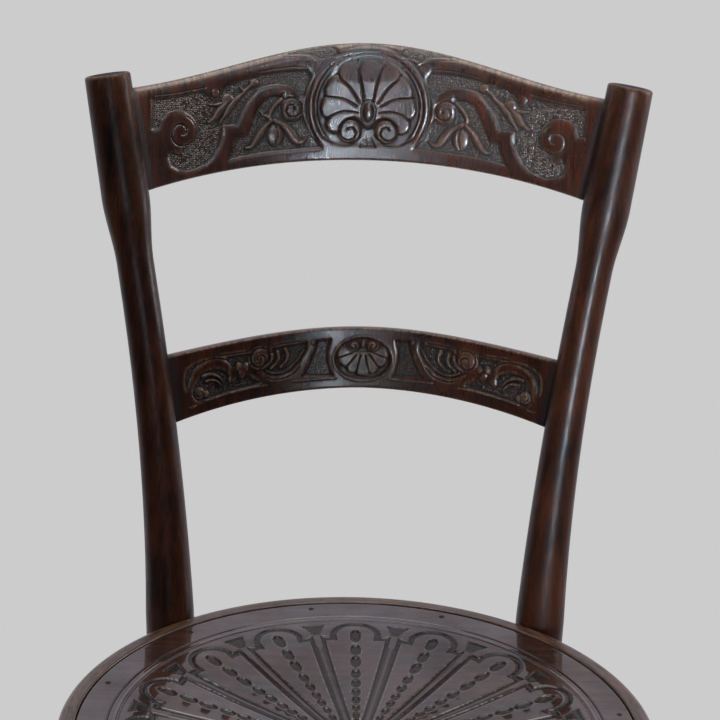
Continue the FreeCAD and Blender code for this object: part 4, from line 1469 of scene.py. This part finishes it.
    def carve_shell(self, relief: Relief) -> None:
        """Raises the shell in its roundel."""
        base = -0.9
        up = relief.places[:, 1]
        middle = relief.oval((0.0, 24.0), (1.0, 1.0))
        above = eased((up + 3.0) / 8.0) * (1.0 - 0.6 * eased((up - 26.0) / 24.0))
        for radius, half_width, rise in ((41.0, 1.9, 0.7), (43.8, 0.8, -0.5), (46.0, 1.6, 0.4)):
            relief.height += rise * hump(middle - radius, half_width) * above
        relief.height += base * eased((37.6 - middle) / 2.0) * eased((up + 4.5) / 3.0)
        turns = np.linspace(0.95, 3.3, 24)
        relief.groove([(38.2 * math.sin(turn), 24.0 - 38.2 * math.cos(turn)) for turn in turns], 1.5, 0.5)
        relief.swell_inside(mirrored(self.shell_half), np.flatnonzero(middle < 42.0), base, 1.75, 3.0)
        for line in (((3.2, 28), (5, 38), (8, 51)), ((6.6, 27), (13, 37), (19.4, 43), (22.6, 47)),
                     ((8.6, 24.6), (18, 29.4), (31.5, 31)), ((8, 20), (18, 20.5), (25, 18), (30, 14.6))):
            relief.groove(line, 2.0, 1.15)
        # The shell's upper lobes are worn flat.
        faded = 0.8 * eased((up - 41.0) / 12.0) * (middle < 38.5)
        relief.height += faded * (-0.25 - relief.height)
        boss = relief.oval((0.0, 20.0), (3.9, 6.6))
        relief.height[boss < 1.45] = base
        relief.height[boss < 1.0] = base + 2.0 * np.sqrt(1.0 - boss[boss < 1.0] ** 2)
        self.carve_volutes(relief, base)

    def carve_volutes(self, relief: Relief, base: float) -> None:
        """Raises the two curls under the shell and sinks the small field between them.

        Args:
            relief: the rail's relief.
            base: height of the roundel's floor.
        """
        disc = [(13.2 + 8.6 * math.cos(turn), 6.6 + 8.4 * math.sin(turn)) for turn in np.linspace(0, 5.8, 16)]
        relief.swell(disc, base, 1.9, 3.0)
        relief.groove(((2.5, 9), (6, 13.5), (12, 15.5), (17, 13.5), (20, 8.5), (19.5, 3), (15, 0),
                       (10.5, 1.5), (8.5, 5), (10, 8.5), (13, 9.5), (15, 8)), 1.7, 1.1)
        relief.groove(((31, 2), (25, -2), (18, -4), (12, -3.5), (9, 0)), 1.6, 0.8)
        relief.sink(((0, 1), (3, 1), (5.5, -4.8), (0, -4.8)), depth=1.3, bevel=1.2)
        relief.groove(((0, 1.2), (3, 1.2), (5.6, -5)), 1.0, 0.3)


@dataclass
class LowerRail(BackRail):
    """Lower rail: a small hanging shell between scrolls."""

    name: str = "lower_back_rail_pressed"
    node: str = "lower_back_rail"
    origin: tuple[float, float] = (240.262, 617.546)
    tilt: float = 10.026
    plan_radius: float = 222.0
    thickness: float = 8.0
    end_depth: float = 49.5
    middle_depth: float = 44.3
    lower_arch: float = 18.5
    post_across: float = 146.929
    post_lean: float = 0.141
    covered: float = 6.0
    shift: float = 1.3
    columns: int = 640
    rows: int = 112
    lower_drop: float = 3.3
    drop_power: float = 1.3
    fullness: float = 0.45
    edge_wear: float = 1.8
    upper_round: tuple[float, float] = (1.6, 1.6)
    lower_round: tuple[float, float] = (2.0, 2.0)
    roll: float = 0.5
    rim_step: float = 0.17
    rim_wear_and_highlight: float = 0.55

    wedge_field: Line = (
        (24, 29), (32.6, 28.2), (34.6, 21), (38, 12), (42.5, 3.4), (21.8, 3.2), (23.6, 7.6), (25.4, 13.4),
        (25.8, 20.4))
    flute_field: Line = (
        (41, 27.2), (45.1, 26.7), (54.6, 25.3), (64.5, 23.9), (65.7, 20.8), (66.5, 17), (68.5, 14.5),
        (70.3, 13.2), (73.1, 11.2), (73.6, 8.7), (70.8, 6.1), (65.5, 3.9), (60.1, 3.7), (53.2, 6),
        (45.9, 13.1), (40.8, 22.6))
    middle_field: Line = (
        (83.1, 20.3), (85.7, 21), (90.1, 20.7), (95.3, 20.2), (99.7, 19.2), (98.1, 16), (95.9, 12.2),
        (93.9, 12.4), (92.6, 14.3), (90.4, 15.8), (88.1, 14.7), (85.7, 13.5), (84.1, 16.3))
    leaf_field: Line = (
        (75.8, -0.3), (80.1, 2.1), (82.9, 4.6), (85.5, 4.5), (87.7, 2.9), (91.8, 3.4), (94.8, 1.5),
        (97.4, 0.3), (98.7, 2.3), (98.6, 6), (101, 9), (104.6, 10.8), (109.7, 12.1), (115.7, 10.6),
        (120.2, 8.1), (123.2, 4.2), (125.4, 0), (126, -5), (123, -9.4), (118.5, -9.2), (114.5, -8.2),
        (107.8, -7.1), (100.3, -5.4), (93.7, -4.3), (87, -2.9), (78.8, -1.6))
    end_field: Line = (
        (118.9, 18.4), (122.7, 16.5), (126.5, 13.3), (129.4, 7.6), (131.5, 0), (133, 5), (132.6, 10),
        (131, 14), (125.5, 17))
    shell_half: Line = (
        (0, 2.2), (3.4, 3), (5, 4.8), (8.6, 4.6), (11.2, 6.8), (12.2, 9.2), (15.2, 9.8), (17.4, 13),
        (17.4, 16.2), (18.6, 18), (18.2, 21.8), (15.6, 24.6), (12, 24), (8, 21.6), (3, 20.4), (0, 20.6))

    def carve(self, relief: Relief) -> None:
        """Presses the hanging shell, the flutes and the scrolls."""
        floor = 1.3
        for field in (self.wedge_field, self.flute_field, self.middle_field, self.leaf_field, self.end_field):
            relief.sink(field, floor, bevel=0.9, shoulder=2.2)
        self.carve_leaves(relief, -floor)
        relief.stipple(pitch=1.5, depth=0.12, seed=9)
        self.carve_scrolls(relief)
        self.carve_shell(relief)

    def carve_leaves(self, relief: Relief, base: float) -> None:
        """Raises the flutes, the knot and the curled leaf from the ground.

        Args:
            relief: the rail's relief.
            base: height of the ground.
        """
        for flute in (((56.2, 23), (54.6, 19), (55.4, 14.8), (59.6, 10.2)),
                      ((62, 21.2), (61.2, 17.4), (62.8, 13.4), (67.2, 9.4)),
                      ((66, 19.4), (66.2, 16.6), (68.6, 13), (73, 9.8))):
            relief.ridge(flute, 3.4, base, 2.2, 0.45)
        relief.ridge(((42.8, 22), (47.6, 14.4), (54.2, 8.2), (60.3, 5.9), (65.3, 6.1), (69.8, 8)),
                     1.5, base, 1.0)
        relief.ridge(((119, 8), (113, 9), (107, 6.6), (103, 2.6)), 3.0, base, 2.0, 0.6)
        relief.ridge(((116, 4), (111, 4.6), (106.5, 2.4), (104, -1)), 2.6, base, 1.8, 0.6)
        relief.petal((121.2, -4.4), (4.4, 4.6), base, 1.9)
        relief.petal((116.2, -5.4), (2.8, 2.8), base, 1.6)
        for middle, half_sizes in (((85.6, 11.6), (2.3, 3.6)), ((91.4, 12.2), (2.3, 3.6)),
                                   ((88.4, 8.4), (3.2, 4.6))):
            relief.petal(middle, half_sizes, -0.5, 1.5)

    def carve_scrolls(self, relief: Relief) -> None:
        """Lines the scrolls, rounds their curls and beads their borders."""
        relief.dome((75.2, 16.8), (8.8, 8.4), 0.9)
        relief.curl((75.2, 16.8), (8.4, 1.4), (120.0, -380.0), 1.5, 0.9)
        relief.curl((121.2, -4.4), (3.4, 1.0), (60.0, -300.0), 1.1, 0.8)
        relief.petal((36, 27.6), (1.7, 1.7), 0.0, 1.1)
        for line in (((98.1, 16), (101.3, 18.2), (106.3, 19.6), (113.7, 19.6), (118.9, 18.4)),
                     ((46, 28.6), (56, 27.4), (66, 25.8)), ((84, 23), (96, 22.2), (108, 21.6)),
                     ((45.4, 10.6), (50, 5.2), (56.5, 2), (64, 1.4), (70, 3))):
            relief.groove(line, 1.4, 0.65)
        for line in (((19, 1), (33, 0.4), (50, -0.6)),
                     ((69.7, -2.6), (80.4, -3.6), (94.4, -5.8), (104.8, -7.7), (116, -10)),
                     ((124.2, -12.6), (126.5, -13.2), (129, -13.7))):
            relief.ridge(line, 1.5, -0.1, 0.65)

    def carve_shell(self, relief: Relief) -> None:
        """Raises the hanging shell in its oval."""
        base = -0.9
        oval = relief.oval((0.0, 15.6), (19.4, 15.2))
        relief.height += base * eased((1.0 - oval) / 0.09 + 0.5)
        relief.height += 0.4 * hump(oval - 1.09, 0.06)
        relief.swell_inside(mirrored(self.shell_half), np.flatnonzero(oval < 1.0), base, 1.4, 2.2)
        for line in (((1.8, 18), (3.4, 11), (4.9, 4.4)), ((4.4, 18.8), (8.4, 13.6), (12.2, 8.8)),
                     ((7.4, 20), (12, 18.2), (17.6, 16.2))):
            relief.groove(line, 1.15, 0.85)
        relief.petal((6.8, 25.2), (5.0, 4.6), base, 1.7)
        relief.curl((6.8, 25.2), (4.4, 0.9), (200.0, -250.0), 1.2, 0.9)
        relief.petal((0.0, 26.4), (2.0, 3.0), base, 1.3)


class GeometryTree(NodeSheet):
    """Short hand for wiring a tree that makes geometry."""

    def __init__(self, name: str) -> None:
        """Makes a tree with one geometry output."""
        super().__init__(bpy.data.node_groups.new(name, "GeometryNodeTree"))
        self.tree.interface.new_socket("Geometry", in_out="OUTPUT", socket_type="NodeSocketGeometry")
        self.source = self.node("NodeGroupInput")
        self.result = self.node("NodeGroupOutput")
        self.identifiers: dict[str, str] = {}

    def size(self, name: str, kind: str = "NodeSocketFloat") -> Socket:
        """Adds a named input and gives its socket."""
        entry = self.tree.interface.new_socket(name, in_out="INPUT", socket_type=kind)
        self.identifiers[name] = entry.identifier
        return next(socket for socket in self.source.outputs if socket.identifier == entry.identifier)

    def made(self, kind: str, inputs: dict) -> Socket:
        """First output of a new geometry node with values or sockets by input name."""
        return self.node("GeometryNode" + kind, None, inputs).outputs[0]

    def finished(self, name: str, geometry: Socket, material: Material, sizes: dict[str, object]) -> Piece:
        """Ends the tree, runs it and keeps the plain mesh.

        Args:
            name: the piece's name.
            geometry: the tree's last geometry.
            material: the piece's finish.
            sizes: values of the named inputs.

        Returns:
            The object with its mesh and no modifier.
        """
        real = self.made("RealizeInstances", {"Geometry": geometry})
        painted = self.made("SetMaterial", {"Geometry": real, "Material": material})
        self.tree.links.new(painted, self.result.inputs[0])
        piece = bpy.data.objects.new(name, bpy.data.meshes.new(name + "_start"))
        bpy.context.collection.objects.link(piece)
        modifier = piece.modifiers.new("make", "NODES")
        modifier.node_group = self.tree
        for key, value in sizes.items():
            modifier[self.identifiers[key]] = value
        graph = bpy.context.evaluated_depsgraph_get()
        mesh = bpy.data.meshes.new_from_object(piece.evaluated_get(graph))
        piece.modifiers.clear()
        mesh.name = name
        piece.data = mesh
        mesh.shade_smooth()
        mesh.set_sharp_from_angle(angle=math.radians(45.0))
        return piece


@dataclass
class LegRing:
    """Bent ring that ties the four legs together."""

    middle: tuple[float, float, float] = (0.0, 22.7, 205.0)
    radius: float = 195.416
    rod_width: float = 19.0
    rod_round: float = 6.4
    sides: int = 256

    def build(self, material: Material) -> Piece:
        """Runs a rounded square section round a circle.

        Args:
            material: the ring's finish.

        Returns:
            The ring's object.
        """
        tree = GeometryTree("bent_leg_ring")
        inputs = {"Resolution": self.sides, "Radius": tree.size("Ring radius")}
        ring = tree.made("CurvePrimitiveCircle", inputs)
        width = tree.size("Rod width")
        section = tree.made("CurvePrimitiveQuadrilateral", {"Width": width, "Height": width})
        inputs = {"Curve": section, "Radius": tree.size("Rod rounding"), "Count": 7}
        rounded = tree.node("GeometryNodeFilletCurve", {"mode": "POLY"}, inputs)
        rod = tree.made("CurveToMesh", {"Curve": ring, "Profile Curve": rounded.outputs[0]})
        middle = tree.size("Middle", "NodeSocketVector")
        moved = tree.made("Transform", {"Geometry": rod, "Translation": middle})
        centre = Vector(SeatMiddle.place) + Vector(self.middle) * MM
        sizes = {"Ring radius": self.radius * MM, "Rod width": self.rod_width * MM,
                 "Rod rounding": self.rod_round * MM, "Middle": tuple(centre)}
        piece = tree.finished("leg_ring_bent", moved, material, sizes)
        self.paint_grain(piece, centre)
        return piece

    def paint_grain(self, piece: Piece, centre: Vector) -> None:
        """Writes the values that the bent finish reads.

        Args:
            piece: the ring.
            centre: its middle in metres.
        """
        mesh = piece.data
        places = np.zeros(len(mesh.vertices) * 3)
        mesh.vertices.foreach_get("co", places)
        offset = (places.reshape(-1, 3) - np.array(centre)) / MM
        turn = np.arctan2(offset[:, 0], offset[:, 1])
        section_turn = np.arctan2(offset[:, 2], np.hypot(offset[:, 0], offset[:, 1]) - self.radius)
        upper = 0.5 * eased(offset[:, 2] / (self.rod_width / 2) * 1.6 - 0.6)
        plain = np.zeros(len(upper))
        paint(mesh, {"worn": upper, "hollow": plain, "crease": plain, "along": turn * self.radius,
                     "across": section_turn * self.rod_width / 2})

    def dress(self, piece: Piece, material: Material) -> None:
        """Finishes the ring."""
        dressed(piece, material, "dark_beech", "leg_ring")


@dataclass
class Fasteners:
    """Nails of the seat, bolts of the posts, and the small metal that the frame already has."""

    nail_count: int = 12
    nail_circle: float = 182.0
    nail_turn: float = 10.0
    nail_width: float = 4.2
    head_flatness: float = 0.27
    shank_width: float = 1.8
    shank_length: float = 17.0
    bolt_azimuth: float = 37.6
    bolt_height: float = 443.8
    bolt_seat: float = 232.376
    bolt_end: float = 156.5
    bolt_width: float = 7.0
    head_width: float = 17.0
    head_rise: float = 4.0

    def build_nails(self, material: Material) -> Piece:
        """Sets domed nail heads round the seat's border, each turned and sized a little differently.

        Args:
            material: the nails' finish.

        Returns:
            All nails as one object.
        """
        tree = GeometryTree("seat_nails")
        circle = tree.made("MeshCircle", {"Vertices": self.nail_count, "Radius": tree.size("Circle radius")})
        middle = tree.size("Middle", "NodeSocketVector")
        turned = tree.made("Transform", {"Geometry": circle, "Translation": middle,
                                         "Rotation": (0.0, 0.0, math.radians(self.nail_turn))})
        head = tree.made("MeshUVSphere", {"Segments": 14, "Rings": 8, "Radius": tree.size("Head radius")})
        flat = tree.made("Transform", {"Geometry": head, "Scale": (1.0, 1.0, self.head_flatness)})
        shank = tree.made("MeshCylinder", {"Vertices": 8, "Radius": self.shank_width / 2 * MM,
                                           "Depth": self.shank_length * MM})
        down = (0.0, 0.0, -self.shank_length / 2 * MM)
        sunk = tree.made("Transform", {"Geometry": shank, "Translation": down})
        nail = tree.node("GeometryNodeJoinGeometry")
        for part in (flat, sunk):
            tree.tree.links.new(part, nail.inputs[0])
        tilt = tree.node("FunctionNodeRandomValue", {"data_type": "FLOAT_VECTOR"},
                         {"Seed": 5, "Min": (-0.05, -0.05, 0.0), "Max": (0.05, 0.05, 3.0)})
        size = tree.node("FunctionNodeRandomValue", {"data_type": "FLOAT"}, {"Seed": 8, 2: 0.88, 3: 1.0})
        placed = tree.made("InstanceOnPoints", {"Points": turned, "Instance": nail.outputs[0],
                                                "Rotation": tilt.outputs[0], "Scale": size.outputs[1]})
        centre = Vector(SeatMiddle.place) + Vector((0.0, 0.0, SEAT_TOP * MM))
        sizes = {"Circle radius": self.nail_circle * MM, "Head radius": self.nail_width / 2 * MM,
                 "Middle": tuple(centre)}
        return tree.finished("seat_nail_heads", placed, material, sizes)

    def build_bolts(self) -> Piece:
        """Turns the domed heads and the shanks of both bolts.

        Returns:
            Both bolts as one object.
        """
        shell = Shell()
        dome = np.linspace(0.0, math.pi / 2, 9)[:-1]
        stations = np.concatenate([[self.bolt_end, self.bolt_seat, self.bolt_seat],
                                   self.bolt_seat + 0.6 + (self.head_rise - 0.6) * np.sin(dome),
                                   [self.bolt_seat + self.head_rise]])
        radii = np.concatenate([[self.bolt_width / 2] * 2, [self.head_width / 2 - 0.3],
                                self.head_width / 2 * np.cos(dome), [0.3]])
        for side in (1.0, -1.0):
            angle = math.radians(self.bolt_azimuth)
            way = np.array([side * math.sin(angle), math.cos(angle), 0.0])
            centres = stations[:, None] * way + np.array([0.0, 0.0, self.bolt_height])
            ways = np.repeat(way[None], len(stations), axis=0)
            numbers = shell.add(round_rings(centres, ways, radii, 40))
            shell.weave(numbers, wrap_columns=True)
            for end in (0, -1):
                shell.fan(numbers[end], centres[end])
        return shell.finished("post_bolts_domed")

    def build(self, iron: Material) -> list[Piece]:
        """Makes the nails and the bolts."""
        return [self.build_nails(iron), self.build_bolts()]

    def dress(self, pieces: list[Piece], iron: Material, steel: Material, nodes: dict[str, Piece]) -> None:
        """Finishes the new fasteners and the frame's own screws, washers and nuts.

        Args:
            pieces: nails and bolts.
            iron: finish of the nails.
            steel: finish of everything else.
            nodes: the frame's nodes by name.
        """
        dressed(pieces[0], iron, "nail_iron", "seat_panel_nails")
        dressed(pieces[1], steel, "bolt_iron", "post_bolts")
        for name in ("leg_ring_screws", "post_bolt_washers", "post_bolt_nuts"):
            nodes[name].data.materials.clear()
            nodes[name].data.materials.append(steel)
            LOG.info("%s: finished as it is", name)


@dataclass(frozen=True)
class Lamp:
    """Soft rectangular lamp.

    Attributes:
        name: its name.
        place: where it hangs, in metres about the seat's middle.
        target: where it points.
        size: its width and height.
        power: its power in watts.
        colour: its colour.
        spread: angle in degrees over which it shines.
    """

    name: str
    place: tuple[float, float, float]
    target: tuple[float, float, float]
    size: tuple[float, float]
    power: float
    colour: Colour
    spread: float = 180.0

    def hang(self) -> None:
        """Makes the lamp, which the camera does not see."""
        data = bpy.data.lights.new(self.name, "AREA")
        data.shape = "RECTANGLE"
        data.size, data.size_y = self.size
        data.energy = self.power
        data.color = self.colour
        data.spread = math.radians(self.spread)
        lamp = bpy.data.objects.new(self.name, data)
        lamp.visible_camera = False
        bpy.context.collection.objects.link(lamp)
        start = Vector(self.place) + Vector(SeatMiddle.place)
        aim = Vector(self.target) + Vector(SeatMiddle.place) - start
        lamp.location = start
        lamp.rotation_euler = aim.to_track_quat("-Z", "Y").to_euler()


COOL: Colour = (0.76, 0.87, 1.0)
PLAIN: Colour = (1.0, 0.98, 0.96)
LAMPS = (
    Lamp("window_ahead", (0.15, -4.0, 1.1), (0.0, 0.2, 0.8), (1.7, 0.8), 15.0, COOL),
    Lamp("window_above", (0.4, -2.2, 2.7), (0.0, 0.2, 0.7), (1.6, 0.7), 12.0, COOL),
    Lamp("window_beside", (0.5, -1.7, 0.62), (0.19, 0.25, 0.62), (0.3, 1.15), 1.1, COOL, 10.0),
    Lamp("window_right", (2.6, 0.8, 1.3), (0.0, 0.1, 0.7), (0.9, 2.0), 45.0, PLAIN),
    Lamp("window_left", (-2.6, 0.8, 1.3), (0.0, 0.1, 0.7), (0.5, 1.6), 10.0, PLAIN),
    Lamp("ceiling", (0.2, 0.3, 2.9), (0.0, 0.0, 0.5), (2.0, 2.0), 30.0, PLAIN))


@dataclass
class Studio:
    """Pale floor and background, soft light and the camera."""

    backdrop: float = 0.604
    floor_radius: float = 0.8
    lens: float = 165.0
    camera_place: tuple[float, float, float] = (-0.04629, -1.94553, 1.5525)
    camera_turn: float = -1.197
    camera_dip: float = 22.833
    camera_roll: float = 1.73
    room_light: float = 0.16
    room_mirrored: float = 0.02
    mirrored_tint: Colour = (1.0, 1.0, 1.13)

    def build_camera(self) -> None:
        """Sets the camera where the photograph was taken from."""
        data = bpy.data.cameras.new("viewpoint")
        data.lens = self.lens
        data.sensor_width = 36.0
        data.clip_end = 50.0
        camera = bpy.data.objects.new("viewpoint", data)
        bpy.context.collection.objects.link(camera)
        place = Vector(self.camera_place) + Vector(SeatMiddle.place)
        camera.matrix_world = (Matrix.Translation(place)
                               @ Matrix.Rotation(math.radians(self.camera_turn), 4, "Z")
                               @ Matrix.Rotation(math.radians(90.0 - self.camera_dip), 4, "X")
                               @ Matrix.Rotation(math.radians(self.camera_roll), 4, "Z"))
        bpy.context.scene.camera = camera

    def seen_directly(self, sheet: ShaderSheet) -> Socket:
        """Value that is 1 for camera, mirror and glass rays.

        Args:
            sheet: the sheet to wire it in.

        Returns:
            The value's socket.
        """
        rays = sheet.node("LightPath").outputs
        total = rays["Is Camera Ray"]
        for name in ("Is Glossy Ray", "Is Transmission Ray"):
            total = sheet.calc("MAXIMUM", total, rays[name])
        return total

    def build_world(self) -> None:
        """Lights the room evenly and shows the pale background."""
        world = bpy.data.worlds.new("studio")
        world.use_nodes = True
        sheet = ShaderSheet(world.node_tree)
        sheet.tree.nodes.clear()
        place = sheet.node("TexCoord").outputs["Generated"]
        behind = sheet.node("SeparateXYZ", None, {0: place}).outputs["Y"]
        strength = sheet.spread(behind, -0.15, 0.55, self.room_mirrored, self.backdrop, "SMOOTHSTEP")
        rays = sheet.node("LightPath").outputs
        for ray, value in (("Is Diffuse Ray", self.room_light), ("Is Camera Ray", self.backdrop)):
            inputs = {"Factor": rays[ray], "A": strength, "B": value}
            strength = sheet.node("Mix", None, inputs).outputs["Result"]
        tint = sheet.mixed(rays["Is Glossy Ray"], (1.0, 1.0, 1.0), self.mirrored_tint)
        light = sheet.node("Background", None, {"Color": tint, "Strength": strength})
        sheet.node("OutputWorld", None, {"Surface": light.outputs[0]})
        bpy.context.scene.world = world

    def build_floor(self) -> None:
        """Lays a pale floor that keeps the shadow near the chair and fades into the background."""
        outline = bmesh.new()
        bmesh.ops.create_circle(outline, cap_ends=True, segments=96, radius=self.floor_radius)
        mesh = bpy.data.meshes.new("floor")
        outline.to_mesh(mesh)
        outline.free()
        floor = bpy.data.objects.new("floor", mesh)
        bpy.context.collection.objects.link(floor)
        sheet = MaterialSheet("pale_floor")
        place = sheet.node("TexCoord").outputs["Object"]
        away = sheet.node("VectorMath", {"operation": "LENGTH"}, {0: place}).outputs["Value"]
        share = sheet.calc("MULTIPLY", sheet.spread(away, 0.42, 0.72), self.seen_directly(sheet))
        matt = sheet.node("BsdfDiffuse", None, {"Color": (0.72, 0.72, 0.72, 1.0)})
        glow = sheet.node("Emission", None, {"Color": (1.0, 1.0, 1.0, 1.0), "Strength": self.backdrop})
        mesh.materials.append(sheet.end("MixShader", {0: share, 1: matt.outputs[0], 2: glow.outputs[0]}))

    def build(self) -> None:
        """Sets the whole studio."""
        self.build_camera()
        self.build_world()
        self.build_floor()
        for lamp in LAMPS:
            lamp.hang()
        bpy.context.scene.view_settings.view_transform = "Standard"


def corners(box: Iterable[Iterable[float]]) -> list[list[float]]:
    """Two corners as plain lists of numbers."""
    return [[float(value) for value in corner] for corner in box]


def main() -> None:
    """Builds the chair's pieces in order round the frame."""
    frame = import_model()
    SeatMiddle.read()
    finishes = (POST_FINISH, BENT_FINISH, CREST_FINISH, LOWER_FINISH, SEAT_FINISH, NAIL_FINISH, BOLT_FINISH)
    post_wood, bent_wood, crest_wood, lower_wood, seat_wood, iron, steel = [
        finish.material() for finish in finishes]
    Studio().build()
    for assembly, wood in ((BackPosts(), post_wood), (FrontLegs(), post_wood), (SeatHoop(), bent_wood),
                           (SeatPanel(), seat_wood), (CrestRail(), crest_wood), (LowerRail(), lower_wood)):
        assembly.dress(assembly.build(), wood)
    ring = LegRing()
    ring.dress(ring.build(bent_wood), bent_wood)
    fasteners = Fasteners()
    fasteners.dress(fasteners.build(iron), iron, steel, frame["nodes"])


if __name__ == "__main__":
    logging.basicConfig(level=logging.INFO)
    main()
